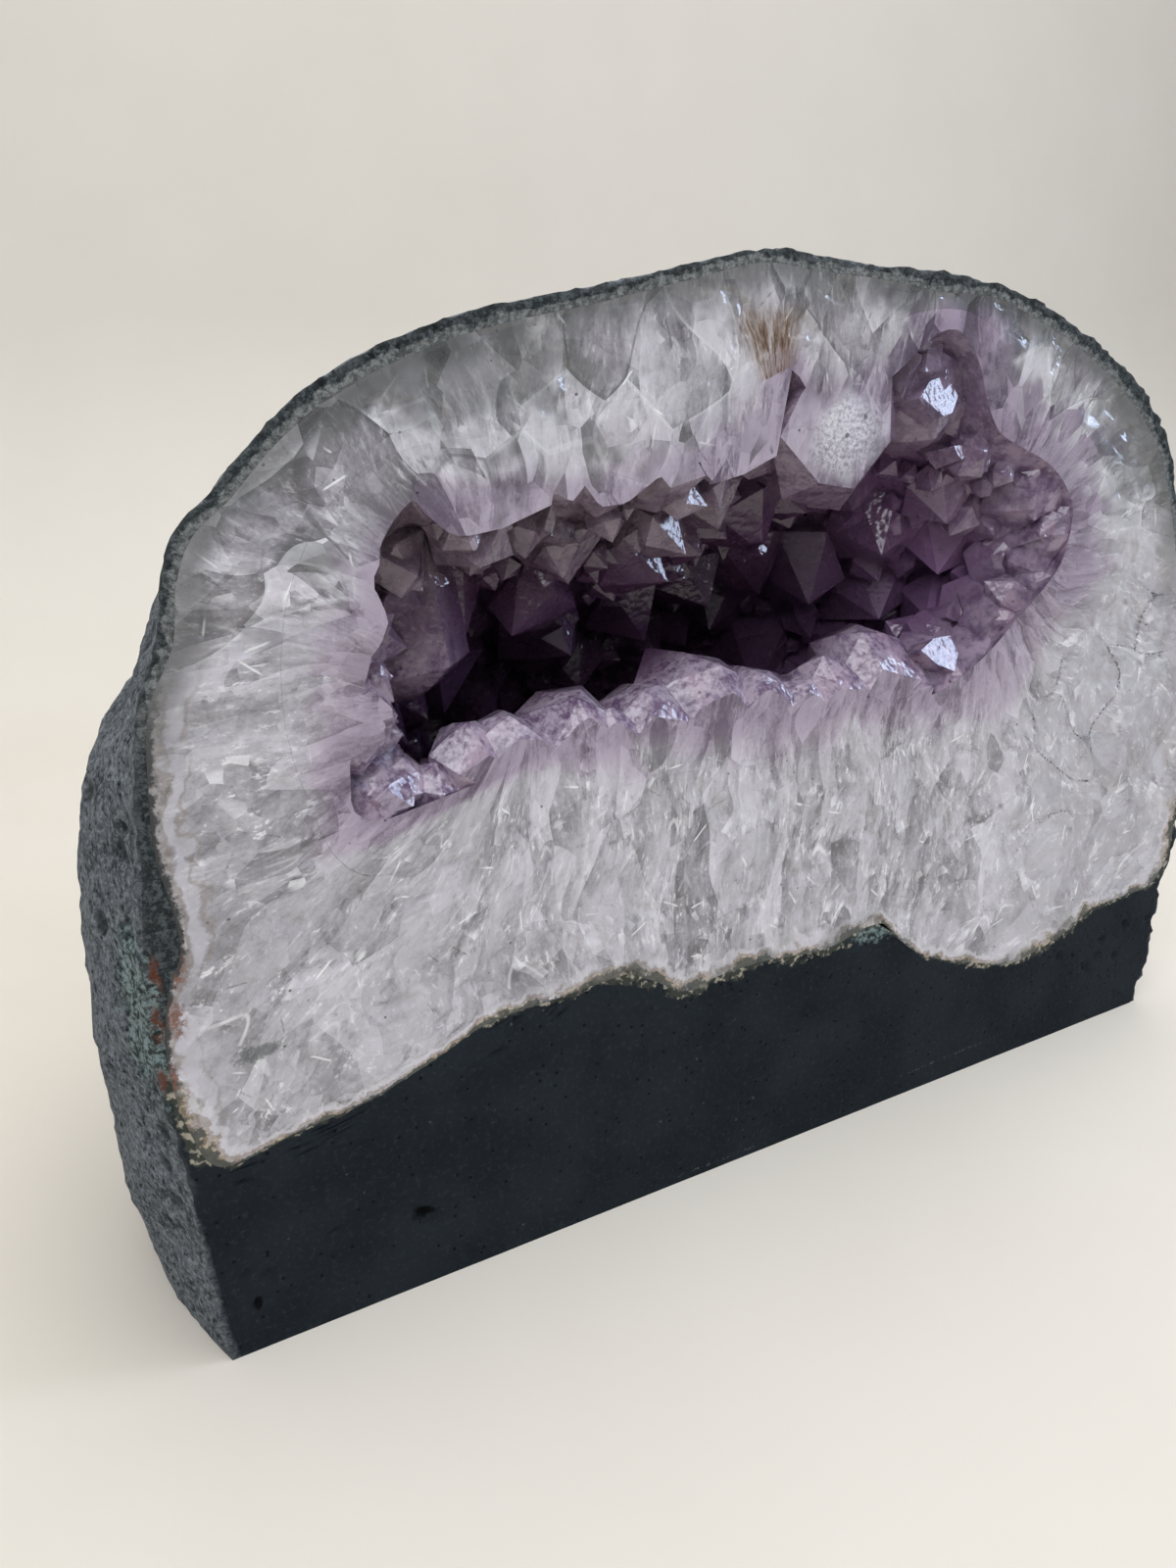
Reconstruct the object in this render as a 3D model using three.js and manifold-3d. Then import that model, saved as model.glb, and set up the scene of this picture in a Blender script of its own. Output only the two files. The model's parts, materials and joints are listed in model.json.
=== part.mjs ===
// An amethyst geode with a sawn front and a sawn base, as it stands on a shelf.
// A dark basalt rind holds a thick band of milky quartz, and the quartz holds a hollow lined with amethyst points.
// Millimetres. +X runs to the viewer's right, +Y into the stone from the sawn front, +Z up from the sawn base.
import * as THREE from "three";
import { mergeVertices } from "three/addons/utils/BufferGeometryUtils.js";
import Module from "manifold-3d";

const wasm = await Module();
wasm.setup();

// Driving dimensions
const STONE_DEPTH = 112; // from the sawn front to the back of the rind
const WAIST_DEPTH = 35; // from the sawn front to the widest section of the stone
const BACK_REACH = 104; // the radius that the stone's outline evens out to at its back
const QUARTZ_DEPTH = 98; // from the sawn front to the back of the quartz
const HOLLOW_DEPTH = 76; // from the sawn front to the back of the hollow's wall in the quartz
const ROOT_DEPTH = 67; // from the sawn front to the back of the space that the crystals stand round
const HOLLOW_SINK = 46; // how much lower the back of the hollow is than its mouth
const QUARTZ_SINK = 18;
const SEAM = 0.3; // clearance between two layers
const SAWN_MARGIN = 6; // how far a solid runs past the saw cut before it is cut

// Rings of facets from the back of each layer to the saw cut
const RIND_STEPS = 10;
const QUARTZ_STEPS = 5;
const HOLLOW_STEPS = 4;
const ROOT_STEPS = 4;

// The outline of the stone in the plane of the sawn front, as it was before the base was sawn off at z = 0.
// Points are [x, z] from the front's lower left corner.
const STONE_CENTRE = [108, 84];
const STONE_OUTLINE = [
  [-0.5, 2], [-2, 24], [-3, 40], [-4.3, 52], [-4.8, 62], [-4.4, 71], [-3.9, 80], [-2.6, 90], [-2.5, 96],
  [-1.4, 103], [-0.3, 111], [1.8, 117], [4, 122.5], [5.2, 129], [8, 135], [13, 139.6], [19, 145.6],
  [28, 152.3], [42, 158], [66, 162.9], [82.7, 166], [97, 168.6], [108, 167.6], [121, 166.4], [146, 163.9],
  [158, 160.6], [173, 154.2], [185, 147.8], [193, 141], [198, 134.6], [208, 115], [215.5, 95],
  [221.5, 74], [224.8, 57], [226, 46], [225.6, 38], [223.8, 31], [223.5, 4], [215, -20], [188, -38],
  [150, -47], [108, -50], [66, -47], [28, -38], [5, -20],
];

// The same at the widest section. The lower left of the stone swells, and the top already falls back.
const WAIST_OUTLINE = [
  [-6.4, 0], [-7.4, 9], [-8.6, 20], [-9.5, 31], [-10, 42], [-9.8, 54], [-9.1, 64], [-8.4, 74], [-7, 83],
  [-4.9, 92], [-1.6, 101], [3.6, 107.5], [8, 115], [13, 124], [22, 135], [32, 144], [44, 150.5], [57, 155],
  [70, 158], [88, 161.5], [106, 163], [121, 162.5], [137, 160], [153, 156.5], [170, 150], [185, 141.5],
  [196, 131], [207, 112], [215.5, 93], [222.5, 73], [227, 52], [228.5, 33], [228, 14], [225, -4],
  [212, -26], [186, -42], [150, -50], [108, -52], [66, -50], [26, -40], [2, -20],
];

// The quartz band's outer edge on the front plane. Its lower edge is the wavy contact with the basalt foot.
const QUARTZ_OUTLINE = [
  [1.2, 39.4], [-0.9, 45], [-2.3, 52], [-2.8, 61], [-1.3, 70], [1.1, 76], [0.9, 83], [-0.2, 91],
  [0.2, 102], [1.7, 112], [5.7, 120], [7.2, 128], [9.8, 133.5], [15, 137.8], [21, 143.8], [30, 150.2],
  [43, 155.4], [66, 160.4], [83, 163.8], [97, 166.4], [108, 165.2], [131, 162.8], [146, 161.5],
  [157, 157.8], [172, 151.2], [183, 144.5], [190, 139], [196, 132.5], [205.5, 114], [213, 94], [219, 74],
  [222.4, 58], [223.8, 47], [223.4, 39], [219, 33], [210, 32.4], [200, 32], [192, 28], [182, 25.5],
  [174, 24.5], [163, 28], [151, 32.5], [142, 38], [134.5, 45.4], [121, 43.6], [106, 45], [95, 45],
  [88.5, 43.6], [79, 48.8], [73, 51.2], [58, 50.4], [46, 49.3], [36.5, 45.3], [25.7, 41.8], [13.8, 40.2],
  [5, 38],
];

// The wall of the hollow in the quartz, on the front plane.
const HOLLOW_CENTRE = [104, 116];
const HOLLOW_OUTLINE = [
  [21, 96], [19, 112], [23, 129], [34, 141], [54, 144], [75, 145], [92, 148], [107, 153], [119, 156.5],
  [129, 159.6], [140, 159.4], [151, 153.5], [163, 145], [175, 137], [183, 124], [184, 106], [178, 91],
  [168, 84], [155, 83], [140, 83.5], [120, 86], [100, 87], [80, 87.5], [60, 86], [42, 81.5], [28, 82],
];

// The edge of the mouth between the crystals' tips, where the crystals have grown together.
const ROOT_OUTLINE = [
  [27.5, 98], [29, 103.5], [30, 109], [32, 115], [33, 121], [33.5, 128], [37, 134], [42, 137],
  [48, 136.5], [57, 136.5], [67, 136], [77, 136], [87, 138.5], [94.5, 141], [98.5, 145], [100.5, 151],
  [103.5, 151], [106.5, 148], [115, 149], [122, 149], [127, 152], [132, 156], [138, 156.5],
  [143, 151.5], [146.5, 144.5], [150.5, 139.5], [157, 136.5], [163, 134], [168, 130.5], [172, 125.5],
  [172.5, 120], [171, 114], [167, 109.5], [161, 104.5], [156, 100], [151, 96.5], [146, 94],
  [140, 92.5], [131, 94], [121, 94.5], [111, 94], [100, 95], [88, 96], [77, 96], [66, 95.5], [57, 95],
  [50, 93.5], [44, 90.5], [37, 87.5], [31, 90],
];

// Vesicles of the basalt that show on the sawn foot: [x, z, radius].
const VESICLES = [
  [34.9, 15, 1.9], [5.2, 9.4, 1.1], [92, 32, 0.9], [61, 36, 1.0], [122, 20, 1.1], [171, 12, 1.2],
  [205, 22, 1.0], [147, 20, 0.8],
];

// Lumps of the rind's natural outside
const LUMP_HEIGHT = 1.8;
const LUMP_LENGTH = 26;

// Crystals round the mouth. The saw slices most of them:
// tip [x, z] on the front plane, the tip's depth behind it (below 0 is sawn off), width, where the tip points
// in degrees (0 is +x and 90 is up), and how many degrees it leans out towards the viewer.
const MOUTH_CRYSTALS = [
  // hanging from the upper lip, from left to right
  { tip: [42.9, 130.6], depth: 5, width: 13, points: -94, leans: 12 },
  { tip: [47.3, 129.4], depth: 0.8, width: 27, points: -106, leans: 2 },
  { tip: [63.1, 132.1], depth: 3, width: 12, points: -90, leans: 15 },
  { tip: [71.8, 130.9], depth: 2.2, width: 17, points: -90, leans: 14 },
  { tip: [82, 130.6], depth: 3.4, width: 15, points: -94, leans: 20 },
  { tip: [91.6, 134], depth: 1.4, width: 18, points: -102, leans: 4 },
  { tip: [101.9, 139], depth: 4, width: 8, points: -78, leans: 5 },
  { tip: [114.5, 138.7], depth: -6, width: 27, points: -92, leans: 76 },
  // in the notch above the right end
  { tip: [138, 140.3], depth: 1.5, width: 21, points: -84, leans: 62 },
  { tip: [131.4, 153.4], depth: 2, width: 12, points: -80, leans: 40 },
  { tip: [145.1, 151.9], depth: 1.5, width: 14, points: -110, leans: 40 },
  { tip: [123.3, 149.4], depth: 2, width: 10, points: -90, leans: 40 },
  { tip: [152.2, 140.7], depth: 2.5, width: 15, points: -125, leans: 45 },
  { tip: [157.8, 130.9], depth: 9, width: 16, points: -110, leans: 50 },
  { tip: [157.7, 135.8], depth: 1.5, width: 13, points: -120, leans: 40 },
  // from the right end
  { tip: [163.4, 126.8], depth: 0.8, width: 17, points: -150, leans: 60 },
  { tip: [164.1, 120], depth: 8, width: 16, points: -160, leans: 55 },
  { tip: [167.3, 118.1], depth: 1.5, width: 14, points: -160, leans: 50 },
  { tip: [164.4, 112.7], depth: 6, width: 16, points: 175, leans: 55 },
  { tip: [166.3, 110.5], depth: 1.5, width: 13, points: 160, leans: 45 },
  { tip: [160.4, 104.9], depth: 3, width: 15, points: 140, leans: 50 },
  { tip: [159.9, 105.5], depth: 9, width: 14, points: 150, leans: 55 },
  { tip: [154.3, 99.8], depth: 3, width: 15, points: 122, leans: 35 },
  // rising from the lower lip, from right to left
  { tip: [153, 102.5], depth: 10, width: 13, points: 95, leans: 40 },
  { tip: [144.7, 100.6], depth: 5, width: 13, points: 100, leans: 40 },
  { tip: [148.2, 97.5], depth: 2.5, width: 13, points: 96, leans: 20 },
  { tip: [137.5, 98.3], depth: 3, width: 12, points: 88, leans: 18 },
  { tip: [129.3, 104.4], depth: 3.6, width: 21, points: 96, leans: 26 },
  { tip: [118.8, 101.2], depth: 3.2, width: 15, points: 95, leans: 18 },
  { tip: [110.5, 99.6], depth: 3, width: 14, points: 88, leans: 15 },
  { tip: [102.8, 102.3], depth: 3, width: 17, points: 86, leans: 22 },
  { tip: [92.5, 104.5], depth: 3.8, width: 25, points: 88, leans: 26 },
  { tip: [80.1, 102.3], depth: 3.6, width: 16, points: 97, leans: 20 },
  { tip: [71.7, 100.5], depth: 3, width: 12, points: 90, leans: 15 },
  { tip: [65.3, 103], depth: 3.4, width: 18, points: 92, leans: 24 },
  { tip: [55.4, 101.5], depth: 3, width: 14, points: 86, leans: 18 },
  { tip: [48.2, 100.7], depth: 2.8, width: 13, points: 93, leans: 20 },
  { tip: [42.7, 95.8], depth: 3, width: 9, points: 86, leans: 15 },
  { tip: [38.5, 97], depth: 4, width: 10, points: 75, leans: 20 },
  // from the left end
  { tip: [34.7, 94.8], depth: 0.5, width: 14, points: 60, leans: 62 },
  { tip: [35.7, 103.5], depth: 2, width: 13, points: -8, leans: 18 },
  { tip: [32.6, 110.5], depth: 2.5, width: 11, points: -10, leans: 15 },
  { tip: [35.4, 120.7], depth: 1.2, width: 17, points: -4, leans: 8 },
  { tip: [35.3, 127.7], depth: 1.5, width: 11, points: -28, leans: 8 },
  { tip: [45.2, 101.4], depth: 18, width: 20, points: -86, leans: 5 },
];

// Crystals of the hollow behind the mouth, in rows from the mouth to the back.
// share is of the quarter turn from mouth to back, and spacing from one crystal to the next along the row.
const CRYSTAL_ROWS = [
  { share: 0.11, spacing: 15, width: [11, 15], length: [7, 10] },
  { share: 0.24, spacing: 16, width: [14, 19], length: [8, 13] },
  { share: 0.4, spacing: 18.5, width: [16, 21], length: [10, 15] },
  { share: 0.58, spacing: 21.5, width: [17, 22], length: [9, 15] },
  { share: 0.8, spacing: 27, width: [19, 24], length: [8, 13] },
];
const ROOT_BURIED = 5; // how far a crystal starts inside the crust
const TIP_SLOPE = 1.0; // height of a quartz tip over the distance from its axis to a side face
const LIP_SLOPE = 0.62; // the same for the blunt crystals round the mouth

// Where the repeatable numbers for the crystals start
const MOUTH_SEED = 768;
const HOLLOW_SEED = 20;

const RADIANS = Math.PI / 180;

// A repeatable source of numbers from 0 to 1.
function makeRandom(seed) {
  let state = seed >>> 0;
  return (low = 0, high = 1) => {
    state = (Math.imul(state, 1664525) + 1013904223) >>> 0;
    return low + ((high - low) * state) / 2 ** 32;
  };
}

// The distance from an outline's centre to its edge at any angle, on a smooth closed curve through its points.
function outlineReach(centre, points) {
  const stops = points
    .map(([x, z]) => ({
      angle: Math.atan2(z - centre[1], x - centre[0]),
      reach: Math.hypot(x - centre[0], z - centre[1]),
    }))
    .sort((a, b) => a.angle - b.angle);
  const count = stops.length;
  const stop = (i) => {
    const turns = Math.floor(i / count);
    const { angle, reach } = stops[i - turns * count];
    return { angle: angle + turns * 2 * Math.PI, reach };
  };
  const slope = (i) => (stop(i + 1).reach - stop(i - 1).reach) / (stop(i + 1).angle - stop(i - 1).angle);
  return (angle) => {
    const wrapped = Math.atan2(Math.sin(angle), Math.cos(angle));
    let i = stops.findIndex((s) => s.angle > wrapped);
    i = (i < 0 ? count : i) - 1;
    const from = stop(i);
    const to = stop(i + 1);
    const span = to.angle - from.angle;
    const t = (wrapped - from.angle) / span;
    return (
      from.reach * (1 + 2 * t) * (1 - t) ** 2 +
      to.reach * (3 - 2 * t) * t * t +
      span * (slope(i) * t * (1 - t) ** 2 + slope(i + 1) * (t - 1) * t * t)
    );
  };
}

// The angles round a centre at which an outline's own points lie.
function outlineAngles(centre, points) {
  return points.map(([x, z]) => Math.atan2(z - centre[1], x - centre[0])).sort((a, b) => a - b);
}

// A dome that starts on the front plane and closes behind it. squareness 2 is a true ellipsoid, and more is boxier.
// point(angle, share, inset) is on the dome, moved inwards by inset. share runs from 0 at the front to 1 at the back.
// backReach is the radius that the outline evens out to at the back, or 0 to keep its shape.
function makeDome({ centre, outline, waist = outline, depth, squareness, sink = 0, backReach = 0 }) {
  const front = outlineReach(centre, outline);
  const widest = outlineReach(centre, waist);
  const waistTurn = (n) => Math.asin((WAIST_DEPTH / depth) ** (n / 2));
  return {
    point(angle, share, inset = 0) {
      const n = squareness(angle);
      const turn = (share * Math.PI) / 2;
      const inwards = depth * Math.sin(turn) ** (2 / n);
      const shrink = Math.cos(turn) ** (2 / n);
      const swelling = waist === outline ? 0 : Math.sin((Math.PI / 2) * Math.min(1, inwards / WAIST_DEPTH));
      const grown = widest(angle) / Math.cos(waistTurn(n)) ** (2 / n) - front(angle);
      const evening = backReach > 0 ? share ** 3 : 0;
      const reach = (front(angle) + swelling * grown) * (1 - evening) + backReach * evening;
      const out = Math.max(0, reach * shrink - inset);
      const y = inwards - (inset * inwards) / depth;
      return new THREE.Vector3(
        centre[0] + out * Math.cos(angle),
        y,
        centre[1] - (sink * y) / depth + out * Math.sin(angle),
      );
    },
  };
}

const stoneAngles = outlineAngles(STONE_CENTRE, QUARTZ_OUTLINE);
const stoneDome = makeDome({
  centre: STONE_CENTRE,
  outline: STONE_OUTLINE,
  waist: WAIST_OUTLINE,
  depth: STONE_DEPTH,
  backReach: BACK_REACH,
  squareness: (angle) => 2.3 - 0.4 * Math.sin(angle),
});
const quartzDome = makeDome({
  centre: STONE_CENTRE,
  outline: QUARTZ_OUTLINE,
  depth: QUARTZ_DEPTH,
  squareness: () => 2,
  sink: QUARTZ_SINK,
});
const hollowAngles = outlineAngles(HOLLOW_CENTRE, HOLLOW_OUTLINE);
const hollowDome = makeDome({
  centre: HOLLOW_CENTRE,
  outline: HOLLOW_OUTLINE,
  depth: HOLLOW_DEPTH,
  squareness: () => 2.1,
  sink: HOLLOW_SINK + 2,
});
const rootAngles = outlineAngles(HOLLOW_CENTRE, ROOT_OUTLINE);
const rootDome = makeDome({
  centre: HOLLOW_CENTRE,
  outline: ROOT_OUTLINE,
  depth: ROOT_DEPTH,
  squareness: () => 2,
  sink: HOLLOW_SINK,
});

// The rind's natural outside is lumpy, and flat at the saw cut.
function lump(p) {
  const wave = (x, y, z) => Math.sin(x / LUMP_LENGTH) * Math.sin(y / LUMP_LENGTH) * Math.sin(z / LUMP_LENGTH);
  const broad = wave(1.9 * p.x + 11, 2.3 * p.y + 37, 2.1 * p.z + 5);
  const fine = wave(4.3 * p.x + 71, 4.9 * p.y + 13, 4.5 * p.z + 29);
  const fade = Math.min(1, p.y / 30);
  return LUMP_HEIGHT * fade * (broad + 0.45 * fine);
}

// Rings of points along a dome from its back to the front, and a last one past the saw cut.
function domeRings(dome, angles, steps, inset, shape) {
  const rings = [[shape(dome.point(0, 1, inset))]];
  for (let i = steps - 1; i >= 0; i--) {
    rings.push(angles.map((angle) => shape(dome.point(angle, i / steps, inset))));
  }
  rings.push(angles.map((angle) => dome.point(angle, 0, inset).setY(-SAWN_MARGIN)));
  return rings;
}

// A closed skin over rings of points. The first and the last ring are single points.
function skin(rings) {
  const points = rings.flat();
  const starts = [0];
  for (const ring of rings) starts.push(starts.at(-1) + ring.length);
  const faces = [];
  for (let r = 0; r + 1 < rings.length; r++) {
    const around = Math.max(rings[r].length, rings[r + 1].length);
    const near = (i) => starts[r] + (i % rings[r].length);
    const far = (i) => starts[r + 1] + (i % rings[r + 1].length);
    for (let i = 0; i < around; i++) {
      if (rings[r].length > 1) faces.push(near(i), near(i + 1), far(i + 1));
      if (rings[r + 1].length > 1) faces.push(near(i), far(i + 1), far(i));
    }
  }
  return new THREE.BufferGeometry().setFromPoints(points).setIndex(faces);
}

// A solid that fills a dome, and runs past the saw cut.
function filledDome(dome, angles, steps, inset = 0, shape = (p) => p) {
  const rings = domeRings(dome, angles, steps, inset, shape);
  return toSolid(skin([...rings, [centreOf(rings.at(-1))]]));
}

function centreOf(ring) {
  return ring.reduce((sum, p) => sum.add(p), new THREE.Vector3()).divideScalar(ring.length);
}

function toSolid(geometry) {
  const bare = geometry.clone();
  bare.deleteAttribute("normal");
  bare.deleteAttribute("uv");
  const merged = mergeVertices(bare, 1e-4);
  return new wasm.Manifold(
    new wasm.Mesh({
      numProp: 3,
      vertProperties: new Float32Array(merged.attributes.position.array),
      triVerts: new Uint32Array(merged.index.array),
    }),
  );
}

function toGeometry(solid) {
  const mesh = solid.getMesh();
  const geometry = new THREE.BufferGeometry();
  geometry.setAttribute("position", new THREE.BufferAttribute(mesh.vertProperties, 3));
  geometry.setIndex(mainSkin(Array.from(mesh.triVerts), mesh.vertProperties.length / 3));
  const faceted = geometry.toNonIndexed();
  faceted.computeVertexNormals();
  return faceted;
}

// The faces of the largest connected skin. Crumbs and closed voids between crowded crystals are dropped.
function mainSkin(corners, pointCount) {
  const leader = Array.from({ length: pointCount }, (_, i) => i);
  const find = (i) => {
    while (leader[i] !== i) i = leader[i] = leader[leader[i]];
    return i;
  };
  for (let i = 0; i < corners.length; i += 3) {
    leader[find(corners[i])] = find(corners[i + 1]);
    leader[find(corners[i + 1])] = find(corners[i + 2]);
  }
  const skins = new Map();
  for (let i = 0; i < corners.length; i += 3) {
    const id = find(corners[i]);
    if (!skins.has(id)) skins.set(id, []);
    skins.get(id).push(corners[i], corners[i + 1], corners[i + 2]);
  }
  return [...skins.values()].sort((a, b) => b.length - a.length)[0];
}

// A box between two opposite corners.
function boxSolid(low, high) {
  const size = new THREE.Vector3().subVectors(high, low);
  const box = new THREE.BoxGeometry(size.x, size.y, size.z);
  box.translate(low.x + size.x / 2, low.y + size.y / 2, low.z + size.z / 2);
  return toSolid(box);
}

// Everything in front of the saw cut, and everything below the sawn base.
const FAR = 400;
const inFrontOfCut = () => boxSolid(new THREE.Vector3(-FAR, -FAR, -FAR), new THREE.Vector3(FAR, 0, FAR));
const belowBase = () => boxSolid(new THREE.Vector3(-FAR, -FAR, -FAR), new THREE.Vector3(FAR, FAR, 0));

// A quartz crystal: a six-sided prism from its root, and a tip of six flat faces.
// No two sides are equal, and the tip is off the axis, as on crystals that grow against each other.
function crystalGeometry({ root, tip, width, slope }, random) {
  const axis = new THREE.Vector3().subVectors(tip, root);
  const length = axis.length();
  const half = width / 2;
  const tipHeight = Math.min(slope * half, 0.85 * length);
  const twist = random(0, Math.PI / 3);
  const foot = [];
  const shoulder = [];
  for (let side = 0; side < 6; side++) {
    const angle = twist + (side * Math.PI) / 3 + random(-0.12, 0.12);
    const reach = half * random(0.92, 1.16);
    const [x, y] = [reach * Math.cos(angle), reach * Math.sin(angle)];
    foot.push(new THREE.Vector3(0.82 * x, 0.82 * y, 0));
    shoulder.push(new THREE.Vector3(x, y, length - tipHeight * random(0.82, 1.15)));
  }
  const apex = new THREE.Vector3(random(-0.16, 0.16) * width, random(-0.16, 0.16) * width, length);
  const turn = new THREE.Quaternion().setFromUnitVectors(new THREE.Vector3(0, 0, 1), axis.normalize());
  const place = (p) => p.applyQuaternion(turn).add(root);
  const rings = [[new THREE.Vector3()], foot, shoulder, [apex]];
  return skin(rings.map((ring) => ring.map(place)));
}

// The inward direction of the wall that the crystals stand on.
function wallNormal(angle, share) {
  const step = 0.01;
  const along = rootDome.point(angle + step, share).sub(rootDome.point(angle - step, share));
  const back = rootDome.point(angle, share + step).sub(rootDome.point(angle, share - step));
  return along.cross(back).normalize();
}

function mouthCrystals() {
  return MOUTH_CRYSTALS.map(({ tip, depth, width, points, leans }) => {
    const direction = new THREE.Vector3(
      Math.cos(points * RADIANS) * Math.cos(leans * RADIANS),
      -Math.sin(leans * RADIANS),
      Math.sin(points * RADIANS) * Math.cos(leans * RADIANS),
    );
    const end = new THREE.Vector3(tip[0], depth, tip[1]);
    return { root: end.clone().addScaledVector(direction, -2 * width), tip: end, width, slope: LIP_SLOPE };
  });
}

function hollowCrystals(random) {
  const made = [];
  for (const { share, spacing, width, length } of CRYSTAL_ROWS) {
    for (const angle of evenSpots(share, spacing, random(0, 1))) {
      const at = share + random(-0.035, 0.035);
      const wall = rootDome.point(angle, at);
      const sway = new THREE.Vector3(random(-0.4, 0.4), random(-0.5, 0.2), random(-0.4, 0.4));
      const direction = wallNormal(angle, at).add(sway).normalize();
      made.push({
        width: random(...width),
        root: wall.clone().addScaledVector(direction, -ROOT_BURIED),
        tip: wall.clone().addScaledVector(direction, random(...length)),
        slope: TIP_SLOPE,
      });
    }
  }
  return made;
}

// Angles at which the crystals of a row are equally far apart. start shifts them along the row.
function evenSpots(share, spacing, start) {
  const stops = Array.from({ length: 361 }, (_, i) => (i / 180) * Math.PI);
  const points = stops.map((angle) => rootDome.point(angle, share));
  const walked = [0];
  for (let i = 1; i < points.length; i++) walked.push(walked[i - 1] + points[i].distanceTo(points[i - 1]));
  const count = Math.max(4, Math.round(walked.at(-1) / spacing));
  return Array.from({ length: count }, (_, k) => {
    const wanted = ((k + start) / count) * walked.at(-1);
    return stops[walked.findIndex((w) => w >= wanted)];
  });
}

function basaltMatrix() {
  const middle = new THREE.Vector3(STONE_CENTRE[0], 0, STONE_CENTRE[1]);
  const lumpy = (p) => p.addScaledVector(new THREE.Vector3().subVectors(p, middle).normalize(), lump(p));
  const outside = filledDome(stoneDome, stoneAngles, RIND_STEPS, 0, lumpy);
  const inside = filledDome(quartzDome, stoneAngles, QUARTZ_STEPS, -SEAM);
  const pits = VESICLES.map(([x, z, radius]) => {
    const pit = new THREE.IcosahedronGeometry(radius, 0);
    pit.scale(1.3, 1, 0.9);
    pit.translate(x, 0, z);
    return toSolid(pit);
  });
  return wasm.Manifold.difference([outside, inside, inFrontOfCut(), belowBase(), ...pits]);
}

function quartzBand() {
  const outside = filledDome(quartzDome, stoneAngles, QUARTZ_STEPS);
  const hollow = filledDome(hollowDome, hollowAngles, HOLLOW_STEPS, -SEAM);
  return wasm.Manifold.difference([outside, hollow, inFrontOfCut()]);
}

function amethystCrust() {
  const hollow = filledDome(hollowDome, hollowAngles, HOLLOW_STEPS);
  const wall = hollow.subtract(filledDome(rootDome, rootAngles, ROOT_STEPS));
  const mouthRandom = makeRandom(MOUTH_SEED);
  const hollowRandom = makeRandom(HOLLOW_SEED);
  const skins = [
    ...mouthCrystals().map((crystal) => crystalGeometry(crystal, mouthRandom)),
    ...hollowCrystals(hollowRandom).map((crystal) => crystalGeometry(crystal, hollowRandom)),
  ];
  const crystals = skins.map((skinned) => toSolid(skinned));
  return wasm.Manifold.union([wall, ...crystals]).intersect(hollow).subtract(inFrontOfCut());
}

function makeMesh(name, solid, material) {
  const mesh = new THREE.Mesh(toGeometry(solid), material);
  mesh.name = name;
  return mesh;
}

const basaltMaterial = new THREE.MeshStandardMaterial({ color: 0x3a4246, roughness: 0.85, metalness: 0 });
const quartzMaterial = new THREE.MeshStandardMaterial({ color: 0xb9b6bb, roughness: 0.3, metalness: 0 });
const amethystMaterial = new THREE.MeshStandardMaterial({ color: 0x6f5678, roughness: 0.12, metalness: 0 });

const geode = new THREE.Group();
geode.add(makeMesh("basalt_matrix", basaltMatrix(), basaltMaterial));
geode.add(makeMesh("quartz_band", quartzBand(), quartzMaterial));
geode.add(makeMesh("amethyst_crust", amethystCrust(), amethystMaterial));

// The origin is the middle of the sawn base's bounding box.
const bounds = new THREE.Box3().setFromObject(geode);
const middle = bounds.getCenter(new THREE.Vector3());
geode.position.set(-middle.x, -middle.y, -bounds.min.z);

export default geode;
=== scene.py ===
"""An amethyst geode with a sawn front and a sawn base, standing on a plain pale floor.

Work is done in millimetres from the lower left corner of the sawn foot: x to the right, y into the stone, z up.
Meshes are moved to the frame, in metres, as they are finished.
"""

import json
import math

import bmesh
import bpy
import numpy as np
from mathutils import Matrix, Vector, noise
from mathutils.kdtree import KDTree

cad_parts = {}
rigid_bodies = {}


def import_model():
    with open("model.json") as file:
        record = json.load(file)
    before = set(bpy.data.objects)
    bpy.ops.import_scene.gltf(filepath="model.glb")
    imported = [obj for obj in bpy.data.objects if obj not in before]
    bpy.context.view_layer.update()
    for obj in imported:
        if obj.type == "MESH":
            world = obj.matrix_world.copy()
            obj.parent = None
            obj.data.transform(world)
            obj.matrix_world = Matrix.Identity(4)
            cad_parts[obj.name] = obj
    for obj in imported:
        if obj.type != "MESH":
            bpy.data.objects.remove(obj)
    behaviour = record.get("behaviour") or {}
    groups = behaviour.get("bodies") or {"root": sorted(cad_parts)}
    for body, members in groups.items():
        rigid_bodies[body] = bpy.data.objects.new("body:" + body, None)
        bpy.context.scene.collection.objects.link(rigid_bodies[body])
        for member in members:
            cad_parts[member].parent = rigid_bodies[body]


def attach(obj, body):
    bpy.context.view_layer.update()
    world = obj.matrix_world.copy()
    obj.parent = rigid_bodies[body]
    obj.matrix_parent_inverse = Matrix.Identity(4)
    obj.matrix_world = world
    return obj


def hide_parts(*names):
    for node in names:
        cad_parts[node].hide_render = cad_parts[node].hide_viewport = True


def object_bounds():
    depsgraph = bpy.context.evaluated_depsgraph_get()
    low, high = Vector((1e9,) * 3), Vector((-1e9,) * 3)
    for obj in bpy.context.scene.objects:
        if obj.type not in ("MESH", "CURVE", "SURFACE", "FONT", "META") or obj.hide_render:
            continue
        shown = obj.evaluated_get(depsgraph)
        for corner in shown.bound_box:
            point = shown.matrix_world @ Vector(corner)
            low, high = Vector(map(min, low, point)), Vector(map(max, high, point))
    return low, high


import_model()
cad_box = [list(corner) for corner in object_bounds()]

MM = 0.001
FOOT_CORNER = (-109.6647, -56.2968, 0.0)  # where the foot's lower left corner is in the frame, in mm

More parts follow.
